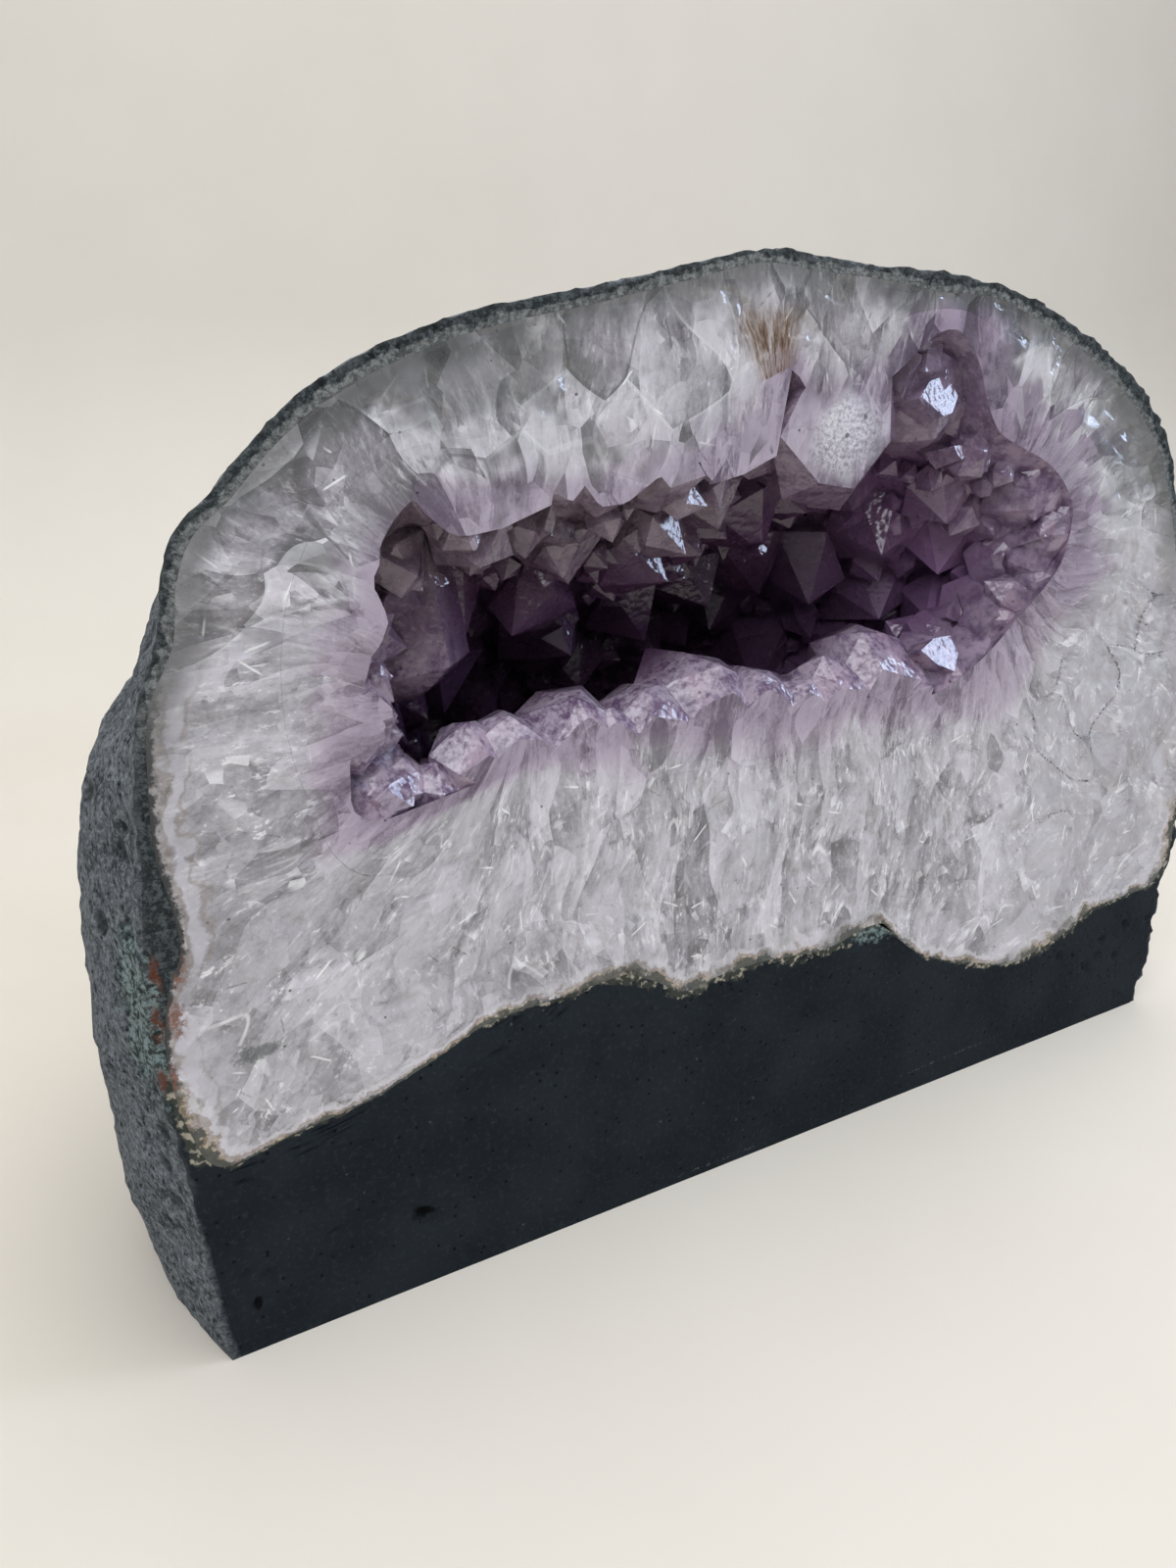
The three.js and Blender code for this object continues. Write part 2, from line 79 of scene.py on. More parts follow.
# Sizes of the stone, as in the solids
STONE_DEPTH = 112
WAIST_DEPTH = 35
BACK_REACH = 104
QUARTZ_DEPTH = 98
QUARTZ_SINK = 18
HOLLOW_DEPTH = 76
ROOT_DEPTH = 67
HOLLOW_SINK = 46
SINK_SPARE = 2  # how much further the hollow sinks than the wall that carries its crystals
SAWN_MARGIN = 6  # how far the crust's crystals stand out before the saw cuts them
WALL_SPARE = 1.0  # how far the wall that carries them goes past the hollow's outside
HAIRLINE = 0.02  # the gap between two layers of the stone

STONE_CENTRE = (108, 84)
STONE_OUTLINE = [
    (-0.5, 2), (-2, 24), (-3, 40), (-4.3, 52), (-4.8, 62), (-4.4, 71), (-3.9, 80), (-2.6, 90), (-2.5, 96),
    (-1.4, 103), (-0.3, 111), (1.8, 117), (4, 122.5), (5.2, 129), (8, 135), (13, 139.6), (19, 145.6),
    (28, 152.3), (42, 158), (66, 162.9), (82.7, 166), (97, 168.6), (108, 167.6), (121, 166.4), (146, 163.9),
    (158, 160.6), (173, 154.2), (185, 147.8), (193, 141), (198, 134.6), (208, 115), (215.5, 95),
    (221.5, 74), (224.8, 57), (226, 46), (225.6, 38), (223.8, 31), (223.5, 4), (215, -20), (188, -38),
    (150, -47), (108, -50), (66, -47), (28, -38), (5, -20),
]
WAIST_OUTLINE = [
    (-6.4, 0), (-7.4, 9), (-8.6, 20), (-9.5, 31), (-10, 42), (-9.8, 54), (-9.1, 64), (-8.4, 74), (-7, 83),
    (-4.9, 92), (-1.6, 101), (3.6, 107.5), (8, 115), (13, 124), (22, 135), (32, 144), (44, 150.5), (57, 155),
    (70, 158), (88, 161.5), (106, 163), (121, 162.5), (137, 160), (153, 156.5), (170, 150), (185, 141.5),
    (196, 131), (207, 112), (215.5, 93), (222.5, 73), (227, 52), (228.5, 33), (228, 14), (225, -4),
    (212, -26), (186, -42), (150, -50), (108, -52), (66, -50), (26, -40), (2, -20),
]
QUARTZ_OUTLINE = [
    (1.2, 39.4), (-0.9, 45), (-2.3, 52), (-2.8, 61), (-1.3, 70), (1.1, 76), (0.9, 83), (-0.2, 91),
    (0.2, 102), (1.7, 112), (5.7, 120), (7.2, 128), (9.8, 133.5), (15, 137.8), (21, 143.8), (30, 150.2),
    (43, 155.4), (66, 160.4), (83, 163.8), (97, 166.4), (108, 165.2), (131, 162.8), (146, 161.5),
    (157, 157.8), (172, 151.2), (183, 144.5), (190, 139), (196, 132.5), (205.5, 114), (213, 94), (219, 74),
    (222.4, 58), (223.8, 47), (223.4, 39), (219, 33), (210, 32.4), (200, 32), (192, 28), (182, 25.5),
    (174, 24.5), (163, 28), (151, 32.5), (142, 38), (134.5, 45.4), (121, 43.6), (106, 45), (95, 45),
    (88.5, 43.6), (79, 48.8), (73, 51.2), (58, 50.4), (46, 49.3), (36.5, 45.3), (25.7, 41.8), (13.8, 40.2),
    (5, 38),
]
HOLLOW_CENTRE = (104, 116)
HOLLOW_OUTLINE = [
    (21, 96), (19, 112), (23, 129), (34, 141), (54, 144), (75, 145), (92, 148), (107, 153), (119, 156.5),
    (129, 159.6), (140, 159.4), (151, 153.5), (163, 145), (175, 137), (183, 124), (184, 106), (178, 91),
    (168, 84), (155, 83), (140, 83.5), (120, 86), (100, 87), (80, 87.5), (60, 86), (42, 81.5), (28, 82),
]
ROOT_OUTLINE = [
    (27.5, 98), (29, 103.5), (30, 109), (32, 115), (33, 121), (33.5, 128), (37, 134), (42, 137), (48, 136.5),
    (57, 136.5), (67, 136), (77, 136), (87, 138.5), (94.5, 141), (98.5, 145), (100.5, 151), (103.5, 151),
    (106.5, 148), (115, 149), (122, 149), (127, 152), (132, 156), (138, 156.5), (143, 151.5), (146.5, 144.5),
    (150.5, 139.5), (157, 136.5), (163, 134), (168, 130.5), (172, 125.5), (172.5, 120), (171, 114),
    (167, 109.5), (161, 104.5), (156, 100), (151, 96.5), (146, 94), (140, 92.5), (131, 94), (121, 94.5),
    (111, 94), (100, 95), (88, 96), (77, 96), (66, 95.5), (57, 95), (50, 93.5), (44, 90.5), (37, 87.5),
    (31, 90),
]
VESICLES = [
    (34.9, 15, 1.9), (5.2, 9.4, 1.1), (92, 32, 0.9), (61, 36, 1.0), (122, 20, 1.1), (171, 12, 1.2),
    (205, 22, 1.0), (147, 20, 0.8),
]
LUMP_HEIGHT = 1.8
LUMP_LENGTH = 26

# Crystals round the mouth: tip x, tip z, tip depth, width, where the tip points and how far it leans out.
MOUTH_CRYSTALS = [
    # hanging from the upper lip, from left to right
    (42.9, 130.6, 5, 13, -94, 12), (47.3, 129.4, 0.8, 27, -106, 2), (63.1, 132.1, 3, 12, -90, 15),
    (71.8, 130.9, 2.2, 17, -90, 14), (82, 130.6, 3.4, 15, -94, 20), (91.6, 134, 1.4, 18, -102, 4),
    (101.9, 139, 4, 8, -78, 5), (114.5, 138.7, -6, 27, -92, 76),
    # in the notch above the right end
    (138, 140.3, 1.5, 21, -84, 62), (131.4, 153.4, 2, 12, -80, 40), (145.1, 151.9, 1.5, 14, -110, 40),
    (123.3, 149.4, 2, 10, -90, 40), (152.2, 140.7, 2.5, 15, -125, 45), (157.8, 130.9, 9, 16, -110, 50),
    (157.7, 135.8, 1.5, 13, -120, 40),
    # from the right end
    (163.4, 126.8, 0.8, 17, -150, 60), (164.1, 120, 8, 16, -160, 55), (167.3, 118.1, 1.5, 14, -160, 50),
    (164.4, 112.7, 6, 16, 175, 55), (166.3, 110.5, 1.5, 13, 160, 45), (160.4, 104.9, 3, 15, 140, 50),
    (159.9, 105.5, 9, 14, 150, 55), (154.3, 99.8, 3, 15, 122, 35),
    # rising from the lower lip, from right to left
    (153, 102.5, 10, 13, 95, 40), (144.7, 100.6, 5, 13, 100, 40), (148.2, 97.5, 2.5, 13, 96, 20),
    (137.5, 98.3, 3, 12, 88, 18), (129.3, 104.4, 3.6, 21, 96, 26), (118.8, 101.2, 3.2, 15, 95, 18),
    (110.5, 99.6, 3, 14, 88, 15), (102.8, 102.3, 3, 17, 86, 22), (92.5, 104.5, 3.8, 25, 88, 26),
    (80.1, 102.3, 3.6, 16, 97, 20), (71.7, 100.5, 3, 12, 90, 15), (65.3, 103, 3.4, 18, 92, 24),
    (55.4, 101.5, 3, 14, 86, 18), (48.2, 100.7, 2.8, 13, 93, 20), (42.7, 95.8, 3, 9, 86, 15),
    (38.5, 97, 4, 10, 75, 20),
    # from the left end
    (34.7, 94.8, 0.5, 14, 60, 62), (35.7, 103.5, 2, 13, -8, 18), (32.6, 110.5, 2.5, 11, -10, 15),
    (35.4, 120.7, 1.2, 17, -4, 8), (35.3, 127.7, 1.5, 11, -28, 8), (45.2, 101.4, 18, 20, -86, 5),
]
# Small crystals that end in a flat face towards the window: middle of the face x, y, z, and its width.
BRIGHT_FACES = [
    (66.2, 7.2, 128.4, 6), (46.9, 10.6, 122.4, 3.6), (105.1, 45.5, 96.3, 5.5), (127, 53.5, 92.2, 4),
    (151.8, 37, 97.6, 5), (156.6, 11.8, 103.8, 5.5), (145, 2.6, 99.6, 10), (135.9, 0.9, 146.2, 10),
    (143.7, 2.4, 136.6, 3.6), (168.4, 1.4, 121.4, 6), (35, 0.4, 93.4, 6.5), (112.5, 17.5, 119.6, 2.6),
]
SECOND_WINDOW = (0.75, -0.35, 0.35)  # where the bluish lamp stands, in metres of the frame
CAMERA_FROM_CORNER = (-18.93, -153.71, 160)
# Rows of crystals in the hollow: share of the way to the back, spacing, width and length from and to.
CRYSTAL_ROWS = [
    (0.11, 15, (11, 15), (7, 10)), (0.24, 16, (14, 19), (8, 13)), (0.4, 18.5, (16, 21), (10, 15)),
    (0.58, 21.5, (17, 22), (9, 15)), (0.8, 27, (19, 24), (8, 13)),
]
ROOT_BURIED = 5
TIP_SLOPE = 1.0  # height of a crystal's tip over half its width
LIP_SLOPE = 0.62  # the same for the blunt crystals round the mouth
MOUTH_SEED, HOLLOW_SEED = 768, 20  # where the numbers for the crystals start
LIP_SWELL = 0.035  # how much their tips are rounded, over their width


def to_frame(points):
    return (np.asarray(points, float) + FOOT_CORNER) * MM


def new_mesh(name, points, faces, values=None):
    """A mesh object from points in mm. values holds a number for each point under each name."""
    mesh = bpy.data.meshes.new(name)
    mesh.from_pydata(to_frame(points).tolist(), [], [list(map(int, face)) for face in faces])
    for key, numbers in (values or {}).items():
        mesh.attributes.new(key, "FLOAT", "POINT").data.foreach_set("value", np.asarray(numbers, np.float32))
    mesh.validate()
    made = bpy.data.objects.new(name, mesh)
    bpy.context.scene.collection.objects.link(made)
    return made


class Outline:
    """The distance from a centre to a smooth closed curve, at any angle."""

    def __init__(self, centre, points):
        offsets = np.array(points, float) - centre
        angle = np.arctan2(offsets[:, 1], offsets[:, 0])
        order = np.argsort(angle)
        turn = 2 * math.pi
        self.angle = np.concatenate([angle[order] - turn, angle[order], angle[order] + turn])
        self.reach = np.tile(np.hypot(offsets[:, 0], offsets[:, 1])[order], 3)
        self.slope = np.zeros(len(self.angle))
        self.slope[1:-1] = (self.reach[2:] - self.reach[:-2]) / (self.angle[2:] - self.angle[:-2])

    def __call__(self, angle):
        wrapped = np.arctan2(np.sin(angle), np.cos(angle))
        i = np.searchsorted(self.angle, wrapped, side="right") - 1
        span = self.angle[i + 1] - self.angle[i]
        t = (wrapped - self.angle[i]) / span
        return (
            self.reach[i] * (1 + 2 * t) * (1 - t) ** 2
            + self.reach[i + 1] * (3 - 2 * t) * t * t
            + span * (self.slope[i] * t * (1 - t) ** 2 + self.slope[i + 1] * (t - 1) * t * t)
        )


class Dome:
    """A surface that starts on the sawn plane and closes behind it."""

    def __init__(self, centre, outline, depth, squareness, waist=None, sink=0.0, back_reach=0.0):
        self.centre, self.depth, self.squareness = centre, depth, squareness
        self.front = Outline(centre, outline)
        self.widest = Outline(centre, waist) if waist else None
        self.sink, self.back_reach = sink, back_reach

    def at(self, angle, share, inset=0.0):
        angle, share = np.broadcast_arrays(np.asarray(angle, float), np.asarray(share, float))
        n = self.squareness(angle)
        turn = share * math.pi / 2
        inwards = self.depth * np.sin(turn) ** (2 / n)
        shrink = np.clip(np.cos(turn), 0, None) ** (2 / n)
        reach = self.front(angle)
        if self.widest:
            swelling = np.sin(math.pi / 2 * np.minimum(1, inwards / WAIST_DEPTH))
            waist_turn = np.arcsin((WAIST_DEPTH / self.depth) ** (n / 2))
            reach = reach + swelling * (self.widest(angle) / np.cos(waist_turn) ** (2 / n) - reach)
        evening = share**3 if self.back_reach else 0.0
        reach = reach * (1 - evening) + self.back_reach * evening
        out = np.maximum(0, reach * shrink - inset)
        y = inwards - inset * inwards / self.depth
        return np.stack([
            self.centre[0] + out * np.cos(angle),
            y,
            self.centre[1] - self.sink * y / self.depth + out * np.sin(angle),
        ], axis=-1)


stone_dome = Dome(
    STONE_CENTRE, STONE_OUTLINE, STONE_DEPTH, lambda angle: 2.3 - 0.4 * np.sin(angle),
    waist=WAIST_OUTLINE, back_reach=BACK_REACH,
)
quartz_dome = Dome(STONE_CENTRE, QUARTZ_OUTLINE, QUARTZ_DEPTH, lambda angle: 2.0 + 0 * angle, sink=QUARTZ_SINK)
hollow_dome = Dome(
    HOLLOW_CENTRE, HOLLOW_OUTLINE, HOLLOW_DEPTH, lambda angle: 2.1 + 0 * angle, sink=HOLLOW_SINK + SINK_SPARE
)
root_dome = Dome(HOLLOW_CENTRE, ROOT_OUTLINE, ROOT_DEPTH, lambda angle: 2.0 + 0 * angle, sink=HOLLOW_SINK)


def skin(rings):
    """Points and faces of a closed skin over rings that run from pole to pole. A pole has one point."""
    starts = np.cumsum([0] + [len(ring) for ring in rings])
    faces = []
    for r in range(len(rings) - 1):
        near, far = len(rings[r]), len(rings[r + 1])
        i = np.arange(max(near, far))
        j = (i + 1) % len(i)
        if near == 1:
            faces += np.stack([starts[r] + 0 * i, starts[r + 1] + j, starts[r + 1] + i], 1).tolist()
        elif far == 1:
            faces += np.stack([starts[r] + i, starts[r] + j, starts[r + 1] + 0 * i], 1).tolist()
        else:
            corners = [starts[r] + i, starts[r] + j, starts[r + 1] + j, starts[r + 1] + i]
            faces += np.stack(corners, 1).tolist()
    return np.concatenate(rings), faces


class Rings:
    """Rings of points that run from one pole to the other, with numbers for each of their points."""

    def __init__(self):
        self.rings, self.numbers = [], []

    def add(self, ring, *numbers):
        ring = np.atleast_2d(ring)
        self.rings.append(ring)
        self.numbers.append([np.broadcast_to(number, len(ring)) for number in numbers])

    def whole(self):
        """The points and faces of the skin over the rings, and each kind of number for all the points."""
        points, faces = skin(self.rings)
        return points, faces, *(np.concatenate(kind) for kind in zip(*self.numbers))


def even_angles(dome, spacing, coarse_below=None, coarse=6.0):
    """Angles at which points on a dome's front are spacing apart, or coarse apart below coarse_below."""
    fine = np.linspace(-math.pi, math.pi, 7201)
    reach = dome.front(fine)
    x = reach * np.cos(fine)
    z = dome.centre[1] + reach * np.sin(fine)
    step = np.hypot(np.diff(x), np.diff(z)) / spacing
    if coarse_below is not None:
        step = np.where(z[1:] < coarse_below, step * spacing / coarse, step)
    walked = np.concatenate([[0], np.cumsum(step)])
    count = int(round(walked[-1]))
    return np.interp(np.arange(count) / count * walked[-1], walked, fine)


def roughness_of(points, length, octaves=3, shift=0.0):
    """Natural unevenness from about -1 to 1 at each point, with humps of about the length given in mm."""
    moved = (np.asarray(points) + shift) / length
    return np.array([noise.fractal(Vector(p), 1.0, 2.0, octaves) for p in moved])


def smooth_step(value, low, high):
    t = np.clip((value - low) / (high - low), 0, 1)
    return t * t * (3 - 2 * t)


def lump(points):
    """The large lumps of the rind, as in the solid."""
    def wave(x, y, z):
        return np.sin(x / LUMP_LENGTH) * np.sin(y / LUMP_LENGTH) * np.sin(z / LUMP_LENGTH)

    x, y, z = points[..., 0], points[..., 1], points[..., 2]
    broad = wave(1.9 * x + 11, 2.3 * y + 37, 2.1 * z + 5)
    fine = wave(4.3 * x + 71, 4.9 * y + 13, 4.5 * z + 29)
    return LUMP_HEIGHT * np.minimum(1, y / 30) * (broad + 0.45 * fine)


def finish_mesh(made, sharp_degrees):
    """Turns the faces outwards, shades them smooth and keeps the edges sharper than an angle."""
    work = bmesh.new()
    work.from_mesh(made.data)
    if work.calc_volume(signed=True) < 0:
        bmesh.ops.reverse_faces(work, faces=work.faces)
    work.to_mesh(made.data)
    work.free()
    made.data.shade_smooth()
    made.data.set_sharp_from_angle(angle=math.radians(sharp_degrees))
    return made


def within_box(points):
    """Keeps points inside the box of the solids."""
    low = np.array(cad_box[0]) / MM - FOOT_CORNER
    high = np.array(cad_box[1]) / MM - FOOT_CORNER
    return np.clip(points, low, high)


# Nodes

def find_socket(sockets, name):
    return next(socket for socket in sockets if socket.enabled and name in (socket.name, socket.identifier))


def add_node(tree, kind, settings, sockets, out=0):
    """Adds a node, with its settings made before its sockets' values and links, and gives one output."""
    made = tree.nodes.new(kind)
    for key, value in settings.items():
        if key == "points":
            line = made.mapping.curves[0]
            while len(line.points) < len(value):
                line.points.new(0.5, 0.5)
            for point, spot in zip(line.points, value):
                point.location = spot
            made.mapping.update()
        else:
            setattr(made, key, value)
    for key, value in sockets.items():
        socket = made.inputs[key] if isinstance(key, int) else find_socket(made.inputs, key)
        for item in value if isinstance(value, list) else [value]:
            if isinstance(item, bpy.types.NodeSocket):
                tree.links.new(item, socket)
            elif socket.type == "RGBA" and len(item) == 3:
                socket.default_value = (*item, 1)
            else:
                socket.default_value = item
    if out is None:
        return None
    shown = [socket for socket in made.outputs if socket.enabled]
    return shown[out] if isinstance(out, int) else find_socket(shown, out)


class GeometryTree:
    """A tree of geometry nodes with named inputs."""

    def __init__(self, name):
        self.tree = bpy.data.node_groups.new(name, "GeometryNodeTree")
        self.tree.interface.new_socket("Geometry", in_out="OUTPUT", socket_type="NodeSocketGeometry")
        self.tree.interface.new_socket("Geometry", in_out="INPUT", socket_type="NodeSocketGeometry")
        self.ins = self.tree.nodes.new("NodeGroupInput")
        self.outs = self.tree.nodes.new("NodeGroupOutput")
        self.values = {}

    def input(self, name, kind, value):
        made = self.tree.interface.new_socket(name, in_out="INPUT", socket_type="NodeSocket" + kind)
        self.values[made.identifier] = value
        return self.ins.outputs[name]

    def node(self, kind, sockets=None, out=0, **settings):
        return add_node(self.tree, kind, settings, sockets or {}, out)

    def run_on(self, carrier, result):
        """Runs the tree on a carrier object and returns its result as a plain mesh."""
        self.tree.links.new(result, self.outs.inputs[0])
        modifier = carrier.modifiers.new("grow", "NODES")
        modifier.node_group = self.tree
        for identifier, value in self.values.items():
            modifier[identifier] = value
        depsgraph = bpy.context.evaluated_depsgraph_get()
        mesh = bpy.data.meshes.new_from_object(carrier.evaluated_get(depsgraph), depsgraph=depsgraph)
        carrier.modifiers.remove(modifier)
        return mesh


# Basalt

RIND_GRAIN = 1.25  # spacing of points on the rind that shows
FINEST_RING, COARSEST_RING = 0.9, 3.2  # spacing of the rind's rings, by the saw cut and at the back
FOOT_STEPS = 42
BURIED_SHARES = np.linspace(0.06, 0.94, 12)  # rings where two layers of the stone touch, which don't show
FAR_OFF = 99.0  # for a distance that nothing depends on
RIND_PITS, FOOT_PITS = 900, 150


def away_from(centre, points):
    out = points - centre
    return out / np.linalg.norm(out, axis=1)[:, None]


def rind_rings():
    """Shares whose rings are close together by the saw cut and wider apart behind, and how far each is."""
    trial = np.linspace(0, 1, 400)
    path = stone_dome.at(math.pi * 0.97, trial)
    length = np.concatenate([[0], np.cumsum(np.linalg.norm(np.diff(path, axis=0), axis=1))])
    wanted, walked, step = [], 0.0, FINEST_RING
    while walked < length[-1] - 2:
        wanted.append(walked)
        walked += step
        step = min(COARSEST_RING, step * 1.012 + 0.004)
    return np.interp(wanted, length, trial), wanted, length[-1]


def bowl(far, radius):
    """How deep a round pit is at distances from its middle."""
    return radius * np.sqrt(np.clip(1 - (far / radius) ** 2, 0, 1))


def basalt_matrix():
    angles = even_angles(stone_dome, RIND_GRAIN, coarse_below=-5)
    centre = np.array([STONE_CENTRE[0], 0, STONE_CENTRE[1]])
    shares, wanted, back = rind_rings()
    layers = Rings()
    layers.add(stone_dome.at(0.0, 1.0), back, FAR_OFF)
    for share, far in sorted(zip(shares, wanted), reverse=True):
        ring = stone_dome.at(angles, share)
        layers.add(ring + away_from(centre, ring) * lump(ring)[:, None], far, FAR_OFF)
    outer = stone_dome.at(angles, 0.0)
    inner = quartz_dome.at(angles, 0.0, -HAIRLINE)
    width = np.linalg.norm(outer - inner, axis=1)
    for t in np.arange(1, FOOT_STEPS + 1) / FOOT_STEPS:
        layers.add(outer * (1 - t) + inner * t, width * t, width * (1 - t))
    for share in BURIED_SHARES:
        layers.add(quartz_dome.at(angles, share, -HAIRLINE), FAR_OFF, 0.0)
    layers.add(quartz_dome.at(0.0, 1.0, -HAIRLINE), FAR_OFF, 0.0)
    points, faces, edge, rim = layers.whole()
    count_out = 1 + len(shares) * len(angles)
    is_rind = np.arange(len(points)) < count_out
    is_face = (~is_rind) & (np.arange(len(points)) < count_out + FOOT_STEPS * len(angles))

    # coarse and fine unevenness of the rind, always inwards
    out = away_from(centre, points)
    rind = points[is_rind]
    coarse = roughness_of(rind, 9.0, 3)
    ripple = roughness_of(rind * (0.6, 0.6, 1.9), 4.2, 3, 40)
    fine = roughness_of(rind, 2.4, 2, 80)
    depth = 0.75 + 0.75 * coarse + 0.4 * ripple + 0.22 * fine
    depth = np.clip(depth, 0, 2.6) * smooth_step(edge[is_rind], 0.0, 5.0)
    points[is_rind] -= out[is_rind] * depth[:, None]

    # pits of the rind
    seeds = np.random.default_rng(7)
    tree = KDTree(len(rind))
    for i, p in enumerate(points[is_rind]):
        tree.insert(p, i)
    tree.balance()
    dents = np.zeros(len(rind))
    shown = np.flatnonzero((edge[is_rind] > 2) & (rind[:, 2] > 1))
    for i in seeds.choice(shown, RIND_PITS):
        radius = seeds.uniform(0.9, 2.6)
        deep = radius * seeds.uniform(0.25, 0.5)
        for _, j, far in tree.find_range(points[i], radius):
            dents[j] = max(dents[j], deep * (1 - (far / radius) ** 2))
    points[is_rind] -= out[is_rind] * dents[:, None]

    # chips along the edge of the saw cut, on both sides of the edge
    chips = roughness_of(points, 5.0, 3, 200)
    nicks = roughness_of(points, 2.0, 2, 300)
    near = np.where(is_rind | is_face, np.clip(1 - edge / 2.2, 0, 1), 0)
    wear = near**1.5 * np.clip(0.35 + 0.9 * chips + 0.5 * nicks, 0, 1.6)
    points -= out * (1, 0, 1) * (wear * 0.8)[:, None]
    points[:, 1] += wear * 0.7 * (is_rind | is_face)

    # the sawn foot: faint saw marks, and vesicles that the saw opened
    face = points[is_face]
    inside = smooth_step(rim[is_face], 0.0, 0.6)
    hollowed = 0.05 * (1 + roughness_of(face * (0.4, 1, 2.2), 6.0, 2, 500)) * inside
    for x, z, radius in VESICLES:
        far = np.hypot((face[:, 0] - x) / 1.3, (face[:, 2] - z) / 0.9)
        far += 0.35 * radius * roughness_of(face, 2.0, 1, 600)
        hollowed = np.maximum(hollowed, bowl(far, radius))
    for _ in range(FOOT_PITS):
        x, z = seeds.uniform(0, 224), seeds.uniform(2, 50)  # anywhere on the foot's face
        radius = seeds.uniform(0.5, 1.1)
        far = np.hypot(face[:, 0] - x, face[:, 2] - z)
        hollowed = np.maximum(hollowed, 0.9 * bowl(far, radius) * inside)
    points[is_face, 1] += hollowed

    made = new_mesh("geode_basalt", within_box(points), faces, {
        "from_edge": edge,
        "from_rim": rim,
        "on_face": is_face.astype(float),
        "pitted": np.concatenate([dents, np.zeros((~is_rind).sum())]),
    })
    saw_base(made)
    return finish_mesh(made, sharp_degrees=38)


def saw_base(made):
    """Cuts everything below the floor away and closes the cut with one flat face."""
    work = bmesh.new()
    work.from_mesh(made.data)
    whole = list(work.verts) + list(work.edges) + list(work.faces)
    bmesh.ops.bisect_plane(work, geom=whole, plane_co=(0, 0, 0), plane_no=(0, 0, 1), clear_inner=True)
    bmesh.ops.holes_fill(work, edges=[edge for edge in work.edges if edge.is_boundary])
    bmesh.ops.triangulate(work, faces=[face for face in work.faces if len(face.verts) > 4])
    work.to_mesh(made.data)
    work.free()


# Quartz

BAND_SPOTS = 700
BAND_STEPS = 62
DEEP_IN = 50.0  # for places behind the sawn face of the quartz, as their distance from the rim


def reach_from(centre, dome, angles):
    """The distance from another centre to a dome's outline, at angles about that centre."""
    fine = np.linspace(-math.pi, math.pi, 3601)[:-1]
    ring = dome.at(fine, 0.0)
    x, z = ring[:, 0] - centre[0], ring[:, 2] - centre[1]
    seen = np.arctan2(z, x)
    order = np.argsort(seen)
    return np.interp(angles, seen[order], np.hypot(x, z)[order], period=2 * math.pi)


def quartz_band():
    angles = np.linspace(-math.pi, math.pi, BAND_SPOTS, endpoint=False)
    reach = reach_from(HOLLOW_CENTRE, quartz_dome, angles)
    rim = np.stack([
        HOLLOW_CENTRE[0] + reach * np.cos(angles), 0 * angles, HOLLOW_CENTRE[1] + reach * np.sin(angles)
    ], axis=-1)
    turned = np.arctan2(rim[:, 2] - STONE_CENTRE[1], rim[:, 0] - STONE_CENTRE[0])
    lip = hollow_dome.at(angles, 0.0, -HAIRLINE)
    width = np.linalg.norm(rim - lip, axis=1)
    layers = Rings()
    layers.add(quartz_dome.at(0.0, 1.0), 0.0)
    for share in BURIED_SHARES[::-1]:
        layers.add(quartz_dome.at(turned, share), 0.0)
    for t in np.arange(BAND_STEPS + 1) / BAND_STEPS:
        layers.add(rim * (1 - t) + lip * t, width * t)
    for share in BURIED_SHARES:
        layers.add(hollow_dome.at(angles, share, -HAIRLINE), DEEP_IN)
    layers.add(hollow_dome.at(0.0, 1.0, -HAIRLINE), DEEP_IN)
    points, faces, from_rim = layers.whole()
    on_face = np.zeros(len(points), bool)
    first = 1 + len(BURIED_SHARES) * len(angles)
    on_face[first:first + (BAND_STEPS + 1) * len(angles)] = True

    # the saw left it nearly flat, with the right side broken rather than cut
    face = points[on_face]
    to_rim = from_rim[on_face]
    to_lip = np.tile(width, BAND_STEPS + 1) - to_rim
    held = smooth_step(to_lip, 0.0, 4.0) * smooth_step(to_rim, 0.0, 0.8)
    right = smooth_step(face[:, 0], 165, 200) * smooth_step(to_rim, 0, 6)
    wavy = roughness_of(face, 14.0, 3, 900)
    steps = np.abs(roughness_of(face, 7.0, 3, 950))
    bruised = smooth_step(roughness_of(face, 5.0, 3, 990), 0.32, 0.55)
    sunk = 0.06 + 0.05 * wavy + right * (0.5 + 0.7 * wavy + 0.9 * (0.35 - np.minimum(steps, 0.35)))
    points[on_face, 1] += np.clip(sunk + 0.35 * bruised, 0, 2.2) * held
    made = new_mesh("geode_quartz", within_box(points), faces, {"from_rim": from_rim})
    return finish_mesh(made, sharp_degrees=40)


# Amethyst crust

def number_source(seed):
    """The same repeatable numbers that the solids were made with."""
    state = [seed]

    def pick(low=0.0, high=1.0):
        state[0] = (state[0] * 1664525 + 1013904223) & 0xFFFFFFFF
        return low + (high - low) * state[0] / 2**32

    return pick


